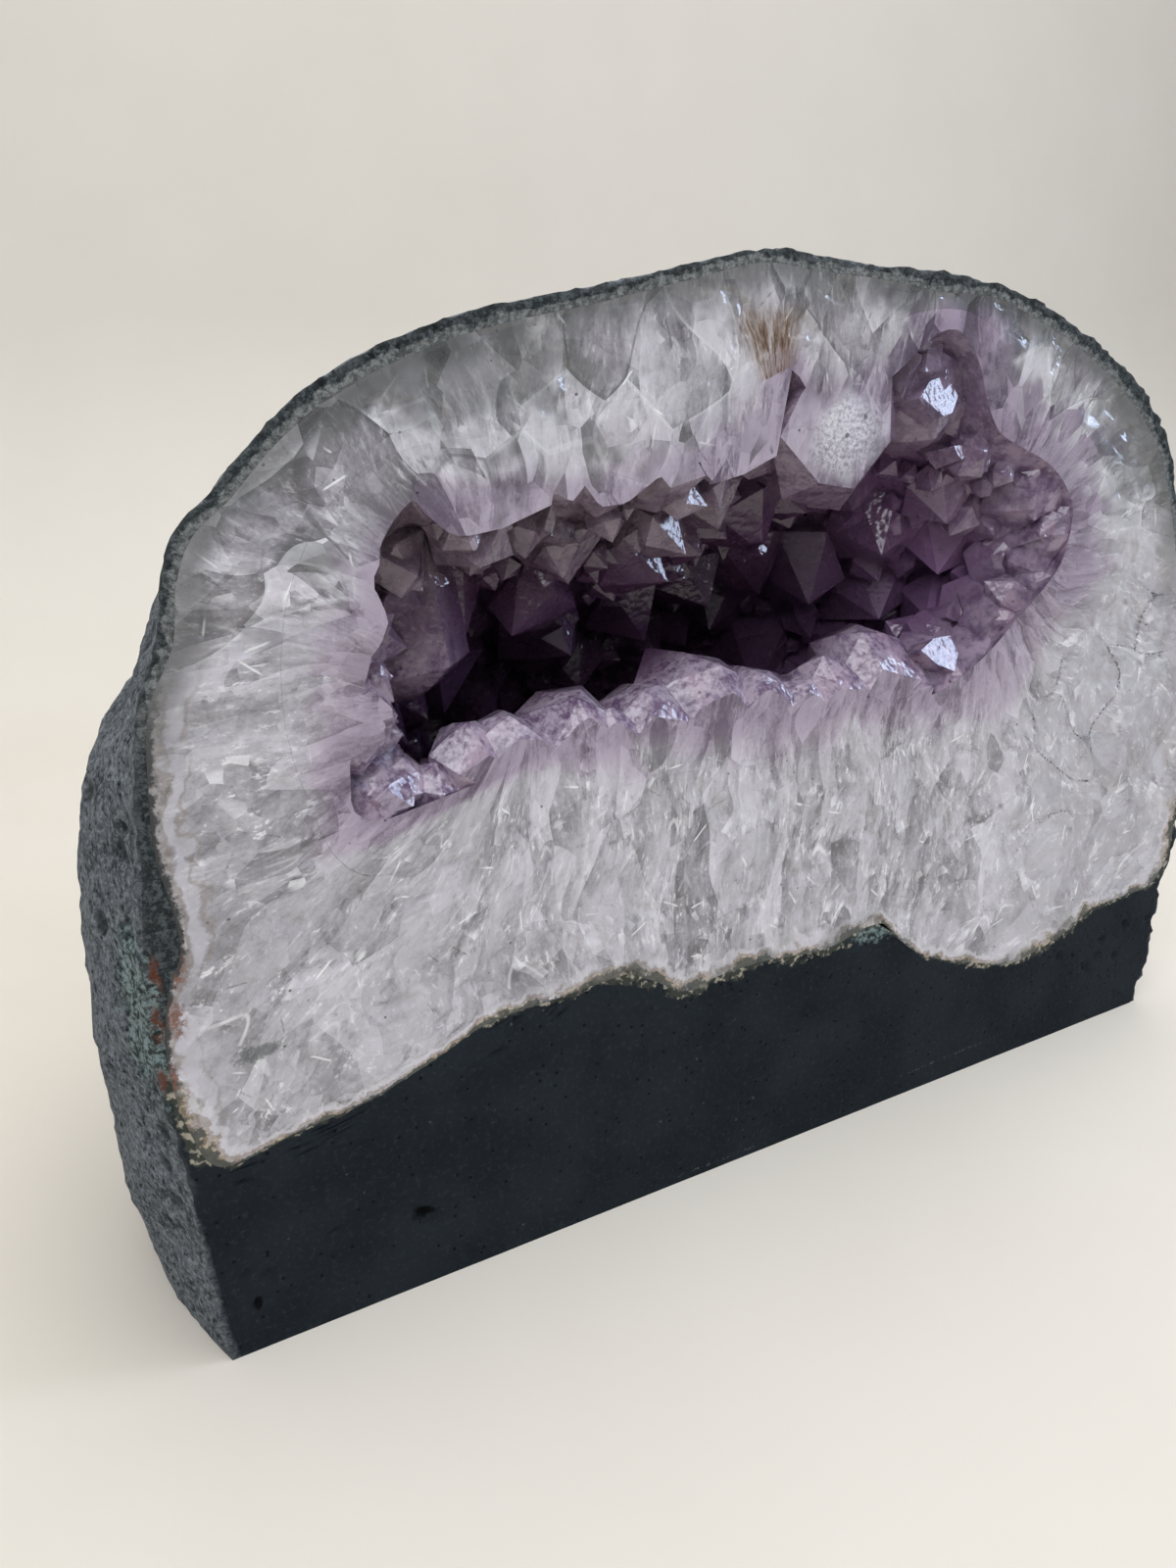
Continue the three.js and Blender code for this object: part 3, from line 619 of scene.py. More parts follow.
def crystal_skin(root, tip, width, pick, slope=TIP_SLOPE, swell=0.0):
    """A six-sided prism with six faces at its tip, from a root point to a tip point. swell rounds the tip."""
    root, tip = Vector(root), Vector(tip)
    axis = tip - root
    length = axis.length
    half = width / 2
    tip_height = min(slope * half, 0.85 * length)
    twist = pick(0, math.pi / 3)
    foot, shoulder = [], []
    for side in range(6):  # no two sides are quite alike
        angle = twist + side * math.pi / 3 + pick(-0.12, 0.12)
        reach = half * pick(0.92, 1.16)
        x, y = reach * math.cos(angle), reach * math.sin(angle)
        foot.append((0.82 * x, 0.82 * y, 0))
        shoulder.append((x, y, length - tip_height * pick(0.82, 1.15)))
    apex = Vector((pick(-0.16, 0.16) * width, pick(-0.16, 0.16) * width, length))
    turn = Vector((0, 0, 1)).rotation_difference(axis.normalized())
    rings = [[(0, 0, 0)], foot, shoulder, [apex]]
    if swell:
        raised = Vector((0, 0, swell * width))
        rings.insert(3, [Vector(corner).lerp(apex, 0.5) + raised for corner in shoulder])
    return skin([np.array([turn @ Vector(p) + root for p in ring]) for ring in rings])


def mouth_crystals():
    made = []
    for x, z, depth, width, points, leans in MOUTH_CRYSTALS:
        points, leans = math.radians(points), math.radians(leans)
        direction = np.array([
            math.cos(points) * math.cos(leans), -math.sin(leans), math.sin(points) * math.cos(leans)
        ])
        tip = np.array([x, depth, z], float)
        made.append((tip - 2 * width * direction, tip, width))
    return made


def bright_faces():
    """Small prisms whose flat end lies halfway between the camera and the second window."""
    made = []
    for x, y, z, width in BRIGHT_FACES:
        middle = Vector((x, y, z))
        to_eye = (Vector(CAMERA_FROM_CORNER) - middle).normalized()
        to_lamp = (Vector(SECOND_WINDOW) / MM - Vector(FOOT_CORNER) - middle).normalized()
        facing = (to_eye + to_lamp).normalized()
        turn = Vector((0, 0, 1)).rotation_difference(facing)
        back, side = [], []
        for k in range(6):
            angle = math.pi / 3 * k + 0.31 * x
            reach = width / 2 * (1 + 0.22 * math.sin(2.7 * k + y))
            corner = turn @ Vector((reach * math.cos(angle), 0.72 * reach * math.sin(angle), 0))
            side.append(middle + corner)
            back.append(middle + 1.25 * corner - 1.6 * width * facing)
        rings = [[middle - 1.7 * width * facing], back, side, [middle]]
        made.append(skin([np.array([list(p) for p in ring]) for ring in rings]))
    return made


def wall_normal(angle, share):
    step = 0.01
    along = root_dome.at(angle + step, share) - root_dome.at(angle - step, share)
    back = root_dome.at(angle, share + step) - root_dome.at(angle, share - step)
    across = np.cross(along, back)
    return across / np.linalg.norm(across)


def even_spots(share, spacing, start):
    stops = np.arange(361) / 180 * math.pi
    points = root_dome.at(stops, share)
    walked = np.concatenate([[0], np.cumsum(np.linalg.norm(np.diff(points, axis=0), axis=1))])
    count = max(4, math.floor(walked[-1] / spacing + 0.5))
    return [stops[np.argmax(walked >= (k + start) / count * walked[-1])] for k in range(count)]


def hollow_crystals(pick):
    made = []
    for share, spacing, width, length in CRYSTAL_ROWS:
        for angle in even_spots(share, spacing, pick(0, 1)):
            at = share + pick(-0.035, 0.035)
            wall = root_dome.at(angle, at)
            sway = np.array([pick(-0.4, 0.4), pick(-0.5, 0.2), pick(-0.4, 0.4)])
            direction = wall_normal(angle, at) + sway
            direction /= np.linalg.norm(direction)
            wide = pick(*width)
            made.append((wall - ROOT_BURIED * direction, wall + pick(*length) * direction, wide))
    return made


def set_apart(name, skins):
    """A collection outside the scene, with one object for each skin."""
    collection = bpy.data.collections.new(name)
    for i, (points, faces) in enumerate(skins):
        one = new_mesh(f"{name}_{i:03d}", points, faces)
        bpy.context.scene.collection.objects.unlink(one)
        collection.objects.link(one)
    return collection


def hollow_meshes():
    """The filled hollow, the wall that carries the crystals, and the bed over which small ones are spread."""
    angles = even_angles(hollow_dome, 2.0)

    def from_behind(steps, inset):
        rings = [hollow_dome.at(angles, share, inset) for share in np.linspace(1, 0, steps)[1:]]
        return [hollow_dome.at(0.0, 1.0, inset)[None]] + rings

    filled = from_behind(17, 0.0) + [np.array([[HOLLOW_CENTRE[0], 0.0, HOLLOW_CENTRE[1]]])]
    outside = from_behind(15, -WALL_SPARE)
    margin = []
    for ring in (outside[-1], root_dome.at(angles, 0.0)):
        margin.append(ring.copy())
        margin[-1][:, 1] = -SAWN_MARGIN
    inside = [root_dome.at(angles, share) for share in np.linspace(0, 1, 18)[:-1]]
    wall = skin(outside + margin + inside + [root_dome.at(0.0, 1.0)[None]])
    bed = skin([root_dome.at(angles, share) for share in np.linspace(0.045, 0.9, 28)])
    return new_mesh("hollow_fill", *skin(filled)), new_mesh("wall", *wall), new_mesh("bed", *bed)


def amethyst_crust(grown_finish, sawn_finish):
    lip_pick, pick = number_source(MOUTH_SEED), number_source(HOLLOW_SEED)
    lip, deep = mouth_crystals(), hollow_crystals(pick)
    skins = [crystal_skin(*one, lip_pick, LIP_SLOPE, LIP_SWELL) for one in lip]
    skins += [crystal_skin(*one, pick) for one in deep]
    grown = set_apart("grown_crystals", skins + bright_faces())
    # the small shapes stand at the frame's origin, 1 mm high
    small = [crystal_skin((0, 0, -0.45), (0, 0, 1.0), 1.0, pick) for _ in range(5)]
    shapes = set_apart("small_crystals", [(points - FOOT_CORNER, faces) for points, faces in small])
    fill, wall, bed = hollow_meshes()

    tree = GeometryTree("crystals_of_the_hollow")
    bed_in = tree.node("GeometryNodeObjectInfo", {"Object": tree.input("Bed", "Object", bed)}, "Geometry")
    wall_in = tree.node("GeometryNodeObjectInfo", {"Object": tree.input("Wall", "Object", wall)}, "Geometry")
    big = tree.node("GeometryNodeCollectionInfo", {
        "Collection": tree.input("Large crystals", "Collection", grown), "Separate Children": True,
    })
    picked = tree.node("GeometryNodeCollectionInfo", {
        "Collection": tree.input("Small shapes", "Collection", shapes), "Separate Children": True,
        "Reset Children": True,
    })
    layers = [wall_in, big]
    for name, spacing, least, most, seed in (("Middling", 7.5, 4.5, 9.0, 3), ("Small", 5.0, 2.5, 5.0, 11)):
        apart = tree.input(name + " spacing", "Float", spacing * MM)
        dots = tree.node("GeometryNodeDistributePointsOnFaces", {
            "Mesh": bed_in, "Distance Min": apart, "Density Max": 60000.0,
            "Seed": tree.input(name + " seed", "Int", seed),
        }, distribute_method="POISSON")
        tilt = tree.node("FunctionNodeRandomValue", {
            "Min": (-0.5, -0.5, -3.1), "Max": (0.5, 0.5, 3.1), "Seed": seed + 1,
        }, data_type="FLOAT_VECTOR")
        turned = tree.node("FunctionNodeRotateRotation", {
            "Rotation": dots.node.outputs["Rotation"],
            "Rotate By": tree.node("FunctionNodeEulerToRotation", {"Euler": tilt}),
        }, rotation_space="LOCAL")
        size = tree.node("FunctionNodeRandomValue", {
            "Min": tree.input(name + " least width", "Float", least),
            "Max": tree.input(name + " most width", "Float", most),
            "Seed": seed + 2,
        }, data_type="FLOAT")
        layers.append(tree.node("GeometryNodeInstanceOnPoints", {
            "Points": dots, "Instance": picked, "Pick Instance": True, "Rotation": turned, "Scale": size,
        }))
    joined = tree.node("GeometryNodeMeshBoolean", {"Mesh 2": layers}, operation="UNION", solver="MANIFOLD")
    cut = tree.node("GeometryNodeMeshBoolean", {
        "Mesh 2": [joined, tree.ins.outputs[0]],
    }, operation="INTERSECT", solver="MANIFOLD")
    real = tree.node("GeometryNodeRealizeInstances", {"Geometry": cut})
    grown_all = tree.node("GeometryNodeSetMaterial", {
        "Geometry": real, "Material": tree.input("Grown faces", "Material", grown_finish),
    })
    height = tree.node("ShaderNodeSeparateXYZ", {"Vector": tree.node("GeometryNodeInputPosition")}, "Y")
    saw = tree.input("Saw cut", "Float", (FOOT_CORNER[1] + HAIRLINE) * MM)
    sawn = tree.node("FunctionNodeCompare", {"A": height, "B": saw}, operation="LESS_THAN")
    finished = tree.node("GeometryNodeSetMaterial", {
        "Geometry": grown_all, "Selection": sawn, "Material": tree.input("Sawn faces", "Material", sawn_finish),
    })
    made = bpy.data.objects.new("geode_amethyst", tree.run_on(fill, finished))
    bpy.context.scene.collection.objects.link(made)
    for spare in [fill, wall, bed] + list(grown.objects) + list(shapes.objects):
        bpy.data.objects.remove(spare)
    for collection in (grown, shapes):
        bpy.data.collections.remove(collection)
    return made


# Finishes

FULL_TURN = 6.283


def sum_with(operation, turned=False):
    """A method that makes a maths node of this and another number, the other one first if turned."""
    def made(self, other):
        first, second = (other, self) if turned else (self, other)
        return self.finish.node("Math", {"operation": operation}, {0: first, 1: second})
    return made


def sum_alone(operation):
    """A method that makes a maths node of this number alone."""
    return lambda self: self.finish.node("Math", {"operation": operation}, {0: self})


class Wire:
    """A number or a colour that a shader node gives. Numbers take part in sums in plain Python."""

    def __init__(self, finish, socket):
        self.finish, self.socket = finish, socket

    __add__ = __radd__ = sum_with("ADD")
    __sub__, __rsub__ = sum_with("SUBTRACT"), sum_with("SUBTRACT", turned=True)
    __mul__ = __rmul__ = sum_with("MULTIPLY")
    __truediv__, __pow__ = sum_with("DIVIDE"), sum_with("POWER")
    least, most = sum_with("MINIMUM"), sum_with("MAXIMUM")
    size, sine, cosine = sum_alone("ABSOLUTE"), sum_alone("SINE"), sum_alone("COSINE")

    def rise(self, low, high):
        """From 0 where this is low to 1 where it is high. low may be the larger of the two."""
        return self.finish.node("MapRange", {"interpolation_type": "SMOOTHSTEP", "clamp": True}, {
            "Value": self, "From Min": low, "From Max": high,
        })


class Finish:
    """A material, and the nodes it is mixed from. Lengths are in millimetres."""

    def __init__(self, name):
        self.material = bpy.data.materials.new(name)
        self.material.use_nodes = True
        self.tree = self.material.node_tree
        self.tree.nodes.clear()
        objects = self.node("TexCoord", out="Object")
        self.place = self.vector_maths("MULTIPLY_ADD", objects, (1 / MM,) * 3, tuple(-c for c in FOOT_CORNER))
        self.x, self.y, self.z = self.split(self.place)

    def node(self, kind, settings=None, sockets=None, out=0):
        plain = {key: item.socket if isinstance(item, Wire) else item for key, item in (sockets or {}).items()}
        return Wire(self, add_node(self.tree, "ShaderNode" + kind, settings or {}, plain, out))

    def measured(self, name):
        """A number that the mesh holds for each of its points."""
        return self.node("Attribute", {"attribute_name": name}, out="Fac")

    def vector_maths(self, operation, *values):
        return self.node("VectorMath", {"operation": operation}, dict(enumerate(values)))

    def split(self, vector):
        first = self.node("SeparateXYZ", sockets={0: vector})
        return [Wire(self, socket) for socket in first.socket.node.outputs]

    def vector(self, x, y, z):
        return self.node("CombineXYZ", sockets={0: x, 1: y, 2: z})

    def cloud(self, where, length, detail=3.0, rough=0.5):
        """Soft noise from about 0 to 1, with patches of the length given."""
        return self.node("TexNoise", None, {
            "Vector": where, "Scale": 1 / length, "Detail": detail, "Roughness": rough,
        }, "Fac")

    def cells(self, where, length, feature="F1", out="Distance"):
        """Crowded cells of about the length given: how far their middles or edges are, over that length."""
        return self.node("TexVoronoi", {"feature": feature}, {"Vector": where, "Scale": 1 / length}, out)

    def cell_marks(self, where, length):
        """Three numbers from 0 to 1 for each cell, and the cell's middle."""
        colour = self.cells(where, length, out="Color")
        return *self.split(colour), Wire(self, find_socket(colour.socket.node.outputs, "Position"))

    def crystals(self, where, length):
        """Angular grains of about the length given: two numbers for each, and a slope that tilts across it,
        used for relief and for painted shading.
        """
        first, second, third, middle = self.cell_marks(where, length)
        dx, dy, dz = self.split(self.vector_maths("SUBTRACT", where, middle))
        turn = FULL_TURN * third
        slope = (dx * turn.sine() + dy * turn.cosine() + 0.5 * dz * (2.3 * turn).sine()) / length
        return first, second, slope

    def mix(self, share, first, second):
        return self.node("Mix", {"data_type": "RGBA"}, {
            "Factor_Float": share, "A_Color": first, "B_Color": second,
        }, "Result_Color")

    def coats(self, colour, *coats):
        """A colour under coats of other colours, each with how much it covers."""
        for share, paint in coats:
            colour = self.mix(share, colour, paint)
        return colour

    def spot(self, x, z, width, height, rough=None):
        """1 in the middle of a patch of the sawn face and 0 outside it."""
        dx, dz = (self.x - x) / width, (self.z - z) / height
        far = (dx * dx + dz * dz) ** 0.5
        if rough is not None:
            far = far + rough
        return far.rise(1.0, 0.45)

    def spots(self, rough, *places):
        """Two or more patches, each as in spot."""
        first, *others = (self.spot(*place, rough) for place in places)
        for other in others:
            first = first.most(other)
        return first

    def relief(self, height):
        """A normal from heights in millimetres."""
        return self.node("Bump", None, {"Height": height, "Distance": MM, "Strength": 1.0}, "Normal")

    def principled(self, **sockets):
        return self.node("BsdfPrincipled", None, {key.replace("_", " "): item for key, item in sockets.items()})

    def show(self, surface, volume=None):
        sockets = {"Surface": surface, "Volume": volume} if volume else {"Surface": surface}
        self.node("OutputMaterial", None, sockets, out=None)
        return self.material


def rust_spots(f, rough, places, widths):
    """The three rusty spots one above another on the left, at their places and widths in x."""
    heights, tall = (73.4, 65.5, 56.2), (4, 4.5, 3)
    first, second, third = (f.spot(x, z, w, h, rough) for x, z, w, h in zip(places, heights, widths, tall))
    return first + second + third


def basalt_finish():
    """A weathered grey rind, the dark sawn foot, and the rim of the saw cut between them."""
    f = Finish("basalt")
    rim = f.measured("from_rim")
    edge = f.measured("from_edge")
    face = f.measured("on_face")
    pitted = f.measured("pitted")
    broad = f.cloud(f.place, 18, 4)
    grain = f.cloud(f.place, 1.1, 4, 0.75)
    layers = f.cloud(f.place, 3.4, 4, 0.65)
    specks = f.cells(f.place, 1.1)
    dots = f.cells(f.place, 2.3)
    weathered = f.coats(
        f.mix(broad.rise(0.35, 0.65), (0.058, 0.068, 0.079), (0.110, 0.126, 0.144)),
        (layers.rise(0.48, 0.60) * 0.5, (0.15, 0.165, 0.18)),
        (layers.rise(0.43, 0.34) * 0.6, (0.018, 0.021, 0.025)),
        (grain.rise(0.49, 0.62) * 0.6, (0.27, 0.295, 0.32)),
        (grain.rise(0.46, 0.36), (0.010, 0.012, 0.014)),
        (dots.rise(0.17, 0.09) * broad.rise(0.46, 0.54) * 0.85, (0.006, 0.007, 0.009)),
        # painted shade: the rind is painted darker the deeper its pits go
        (pitted.rise(0.1, 0.6) * 0.75, (0.014, 0.017, 0.019)),
    )
    sawn = f.coats(
        f.mix(broad.rise(0.35, 0.65), (0.0085, 0.0125, 0.017), (0.014, 0.019, 0.025)),
        (grain.rise(0.50, 0.70) * 0.5, (0.036, 0.044, 0.052)),
        (specks.rise(0.16, 0.05) * 0.35, (0.06, 0.07, 0.08)),
        (dots.rise(0.17, 0.10), (0.002, 0.003, 0.004)),
    )
    motes = f.cells(f.place, 5.2).rise(0.07, 0.045) * grain.rise(0.46, 0.5)
    # scratches along the bottom of the foot
    scored = (f.z - 5.0 - 0.03 * (f.x - 150)).size().rise(0.35, 0.1) * f.x.rise(143, 150) * f.x.rise(178, 170)
    scored = scored.most((f.z - 1.6).size().rise(0.5, 0.1) * f.x.rise(84, 92) * f.x.rise(112, 100))
    scored = scored * grain.rise(0.48, 0.56) * layers.rise(0.44, 0.54)
    sawn = f.mix((0.6 * motes + 0.7 * scored).least(1.0) * 0.6, sawn, (0.16, 0.175, 0.19))
    # painted shade: the vesicles that the saw opened are painted near black inside, as shade in the hollows
    opened = f.spot(34.9, 15.0, 2.7, 1.3, 1.5 * (grain - 0.5)) + f.spot(5.2, 9.4, 0.9, 1.6, grain - 0.5)
    sawn = f.mix(opened.least(1.0), sawn, (0.0015, 0.002, 0.003))
    rim_side = f.z.rise(54, 70)
    broken = f.mix(grain.rise(0.44, 0.60), (0.022, 0.027, 0.030), (0.080, 0.092, 0.098))
    broken = f.mix(layers.rise(0.44, 0.36), broken, (0.010, 0.012, 0.014))
    # at the top the quartz laps over the rim with a ragged edge
    lapped = (rim - 1.2 - 5 * (f.cloud(f.place, 4, 4, 0.65) - 0.5)).rise(0.3, -0.2) * f.z.rise(100, 118)
    greyish = f.mix(grain.rise(0.40, 0.62), (0.085, 0.092, 0.092), (0.24, 0.25, 0.25))
    broken = f.mix(lapped * 0.85, broken, greyish)
    colour = f.mix(face, weathered, f.mix(rim_side, sawn, broken))
    # the contact with the quartz: tan crumbs, rust and green clay, only along the foot and the lower left
    wobble = f.cloud(f.place, 6, 4)
    crumb = f.cloud(f.place, 2.6, 4, 0.7)
    ragged = rim - 9 * (crumb - 0.5) - 7 * (wobble - 0.5)
    crumbs = f.mix(f.cloud(f.place, 1.6, 3).rise(0.50, 0.62), (0.045, 0.05, 0.042), (0.36, 0.33, 0.27))
    colour = f.mix(ragged.rise(1.7, 0.7) * face * f.z.rise(62, 52), colour, crumbs)
    clayey = f.mix(grain.rise(0.42, 0.58), (0.018, 0.026, 0.026), (0.21, 0.28, 0.28))
    green = f.spot(-5.0, 66, 3.4, 17, 2.2 * (crumb - 0.5)) + f.spot(133.6, 44, 8, 3, 2.2 * (crumb - 0.5))
    colour = f.mix((green * 0.85 * f.y.rise(12, 5)).least(1.0), colour, clayey)
    rusty = 2.5 * (crumb - 0.5)
    rust = rust_spots(f, rusty, (-2.6, -3.4, -4.0), (1.2, 1.2, 1.2))
    colour = f.mix((rust * face * crumb.rise(0.4, 0.52)).least(1.0) * 0.85, colour, (0.12, 0.04, 0.022))
    worn = (edge + 3.5 * f.cloud(f.place, 3, 3)).rise(2.9, 1.0)
    colour = f.mix(worn * 0.45, colour, (0.11, 0.12, 0.125))
    rough = 0.78 + 0.18 * grain
    height = f.cloud(f.place, 1.4, 3, 0.7) * (1 - 0.8 * face * (1 - rim_side))
    bump = f.relief(height)
    return f.show(f.principled(Base_Color=colour, Roughness=rough, Normal=bump, Specular_IOR_Level=0.12))


# The columns of quartz fan out from a line in the mouth: its ends in x, its height on the left, and its rise.
FAN_LEFT, FAN_RIGHT, FAN_HEIGHT, FAN_RISE = 58.0, 150.0, 108.0, 0.1
FAN_RADIUS = 38.0  # where their width is as given


def growth_place(f):
    """A place in the band of quartz in which the columns of crystal all run along the third axis."""
    near_x = f.x.most(FAN_LEFT).least(FAN_RIGHT)
    near_z = FAN_HEIGHT + FAN_RISE * (near_x - FAN_LEFT)
    off_x, off_z = f.x - near_x, f.z - near_z
    far = (off_x * off_x + off_z * off_z + 0.01) ** 0.5
    return near_x + FAN_RADIUS * off_x / far, near_z + FAN_RADIUS * off_z / far, far


def from_mouth(f):
    """How far a place is outside the edge of the mouth, in mm. It is negative inside."""
    stops = 60
    reach = root_dome.front(np.linspace(-math.pi, math.pi, stops + 1))
    angle = f.node("Math", {"operation": "ARCTAN2"}, {0: f.z - HOLLOW_CENTRE[1], 1: f.x - HOLLOW_CENTRE[0]})
    # the curve's values lie from 0 to 1, so they are in decimetres
    curve = [(k / stops, float(r) / 100) for k, r in enumerate(reach)]
    edge = f.node("FloatCurve", {"points": curve}, {"Value": angle / (2 * math.pi) + 0.5})
    off_x, off_z = f.x - HOLLOW_CENTRE[0], f.z - HOLLOW_CENTRE[1]
    return (off_x * off_x + off_z * off_z) ** 0.5 - edge * 100.0


def slivers(f, place, spacing, width, reach):
    """Short straight fractures, one in each cell, each with its own direction, and a number for each cell."""
    turn_by, pick, _, middle = f.cell_marks(place, spacing)
    turn = FULL_TURN * turn_by
    dx, _, dz = f.split(f.vector_maths("SUBTRACT", place, middle))
    across = dx * turn.sine() - dz * turn.cosine()
    along = dx * turn.cosine() + dz * turn.sine()
    return across.size().rise(width, 0.2 * width) * along.size().rise(reach, 0.55 * reach), pick


def feathers(f, place, spacing, width, reach):
    """Small bright feathers that open along the third axis, in about half of the cells."""
    open_by, strength, present, middle = f.cell_marks(place, spacing)
    dx, dy, dz = f.split(f.vector_maths("SUBTRACT", place, middle))
    aside = (dx * dx + dy * dy) ** 0.5
    arm = (aside - (0.05 + 0.45 * open_by) * (dz + 0.8 * reach)).size()
    shape = arm.rise(width * 1.6, 0.2 * width) * dz.size().rise(reach, 0.5 * reach)
    return shape * strength * present.rise(0.42, 0.5)


def sawn_quartz(f):
    """The colour, clearness, roughness and height of the sawn quartz and of the crystals that the saw cut."""
    across_x, across_z, along = growth_place(f)
    drift = f.cloud(f.place, 24, 1)
    drift_b = f.cloud(f.vector(f.x + 300, f.y, f.z), 24, 1)
    u, v = across_x + 11 * (drift - 0.5), across_z + 11 * (drift_b - 0.5)
    above = f.z.rise(112, 126)
    grown = f.vector(u, v, along * (0.42 + 0.3 * above))
    petal, _, slope = f.crystals(grown, 11.0)
    column, tint, fine_slope = f.crystals(f.vector(u, v, along * (0.36 + 0.2 * above)), 4.2)
    chip, _, chip_slope = f.crystals(f.vector(u, v, along * 0.6), 1.7)
    side = f.cells(grown, 11.0, "DISTANCE_TO_EDGE")
    clouds = f.cloud(f.place, 14, 3, 0.6)
    streaks = f.cloud(f.vector(u, v, along * 0.26), 3.2, 2, 0.6)
    fibres = f.cloud(f.vector(u * 1.2, v * 1.2, along * 0.32), 1.1, 3, 0.75)
    frost = f.cloud(f.place, 0.7, 2, 0.75)
    patch = f.cloud(f.place, 8, 2)
    busy = (0.5 * side.rise(0.12, 0.02) + 0.9 * patch.rise(0.50, 0.62)).least(1.0)
    lively = 1 - 0.5 * f.x.rise(158, 185) * f.z.rise(156, 136)
    # the slope terms paint shade across each grain, lighter on one side and darker on the other as on a lit
    # facet; the rest is the grains' own tone
    tone = 0.60 + lively * (
        (0.26 + 0.2 * above) * (petal - 0.5) + 0.21 * slope + 0.35 * (clouds - 0.5)
        + 0.5 * (streaks - 0.5) + 0.35 * (frost - 0.5) + (0.45 + 0.4 * busy) * (fibres - 0.5)
        + (0.6 + 0.3 * busy) * (0.26 * (column - 0.5) + 0.38 * fine_slope)
        + (0.3 + 0.7 * busy) * (0.14 * (chip - 0.5) + 0.28 * chip_slope)
    )
    milk = f.mix(tone.rise(-0.06, 1.08), (0.14, 0.132, 0.147), (0.68, 0.66, 0.71))
    window = (0.6 * petal + 0.4 * tint).rise(0.62, 0.78) * clouds.rise(0.58, 0.42) * (0.25 + 0.75 * above)
    milk = f.mix(window * 0.45, milk, (0.15, 0.15, 0.15))
    # the joints between the large crystals above the mouth: bright on one side, dark on the other
    joint = side.rise(0.05, 0.012) * above
    milk = f.mix(joint * (petal + 1.5 * clouds).rise(1.2, 1.5) * 0.5, milk, (0.78, 0.79, 0.82))
    milk = f.mix(joint * (petal + 1.5 * clouds).rise(1.2, 0.8) * 0.6, milk, (0.11, 0.11, 0.115))
    # short dark cracks in the broken right side
    cracked = f.spots(2.4 * (patch - 0.5), (182, 76, 18, 26), (196, 92, 12, 20))
    crack = side.rise(0.020, 0.007) * frost.rise(0.45, 0.53)
    crack = crack * fibres.rise(0.40, 0.48) * cracked
    milk = f.mix(crack * 0.85, milk, (0.035, 0.035, 0.04))
    # the lower left is a little duller
    dull = f.x.rise(75, 25) * f.z.rise(125, 95)
    milk = f.mix(dull * 0.13, milk, (0.16, 0.155, 0.165))
    # painted glints on the edges of some columns and along the fibres, and thin bright feathers of fracture
    feather = feathers(f, f.vector(u, v, along * 0.75), 4.4, 0.2, 3.4)
    painted_edge_glint = chip.rise(0.90, 0.93) * (0.5 + chip_slope).rise(0.2, 0.9) * patch.rise(0.48, 0.56)
    glint = fibres.rise(0.58, 0.68) * (0.9 - 0.4 * above)
    bright = (feather * (1.0 - 0.6 * above) + 0.7 * painted_edge_glint) * (0.4 + 0.6 * busy)
    bright = bright.most(glint * (0.4 + 0.6 * busy))
    milk = f.mix(bright.least(1.0) * 0.8, milk, (0.92, 0.92, 0.95))
    fracture, kind = slivers(f, f.place, 8.0, 0.25, 2.2)
    milk = f.mix(fracture * kind.rise(0.5, 0.52) * patch.rise(0.46, 0.54) * 0.8, milk, (0.95, 0.96, 0.98))
    shadow = fibres.rise(0.42, 0.30) * (0.3 + 0.7 * busy)
    milk = f.mix(shadow * 0.4, milk, (0.13, 0.125, 0.135))
    # purple creeps into the quartz round the mouth
    mouth = from_mouth(f)
    spread = 16 * (clouds - 0.5) + 3 * (column - 0.5) + 5 * (petal - 0.5)
    reaching = 7 * above + 12 * (1 - above) + 7 * f.x.rise(120, 150) * (1 - above)
    stain = (mouth - spread - reaching).rise(1.0, -10.0)
    lavender = f.mix(tone.rise(0.2, 0.9), (0.16, 0.105, 0.18), (0.55, 0.46, 0.58))
    violet = f.mix(tone.rise(0.2, 0.9), (0.085, 0.06, 0.10), (0.37, 0.295, 0.40))
    milk = f.mix(stain * (0.85 - 0.1 * above), milk, lavender)
    ragged = 2.4 * (clouds - 0.5) + 1.2 * (column - 0.5)
    notch = f.spots(ragged, (138, 152, 16, 17), (162, 133, 17, 20))
    rightward = f.x.rise(122, 136)
    fringe = (mouth - 5 * (column - 0.5) - 3 * (streaks - 0.5)).rise(5.0 + 5.0 * rightward, -1.5)
    fringe = fringe * (1 - 0.6 * above * (1 - rightward))
    hexagon = f.spot(113, 139, 14, 10)
    milk = f.mix((0.8 * notch + (0.55 + 0.2 * rightward) * fringe).least(0.88) * (1 - hexagon), milk, violet)
    # the frosted face of the large hexagonal crystal
    frosted = f.spot(114.5, 140.5, 10.5, 8.6, 0.5 * (frost - 0.5) + 1.1 * (patch - 0.5))
    frosted = frosted * mouth.rise(1.5, -1.0)
    rime = (0.6 * frost + 0.4 * clouds).rise(0.36, 0.62)
    milk = f.mix(frosted * 0.8, milk, f.mix(rime, (0.21, 0.19, 0.24), (0.74, 0.73, 0.77)))
    # dark specks and short scratches
    dark_spots = f.cells(f.place, 3.4)
    specks = (dark_spots.rise(0.085, 0.045) * drift.rise(0.5, 0.6)).most(dark_spots.rise(0.17, 0.12) * frosted)
    scratches = fracture * kind.rise(0.5, 0.48) * drift_b.rise(0.48, 0.56) * frost.rise(0.44, 0.56)
    milk = f.mix((specks + 0.6 * scratches).least(1.0) * 0.8, milk, (0.03, 0.03, 0.033))
    clear = (0.05 + 0.45 * window + 0.15 * stain + 0.3 * (clouds - 0.5)) * (1 - frosted)
    height = 0.7 * slope + 0.18 * fine_slope
    rough = 0.16 + 0.3 * busy * fibres.rise(0.4, 0.7) + 0.4 * frosted
    return milk, clear, rough, height


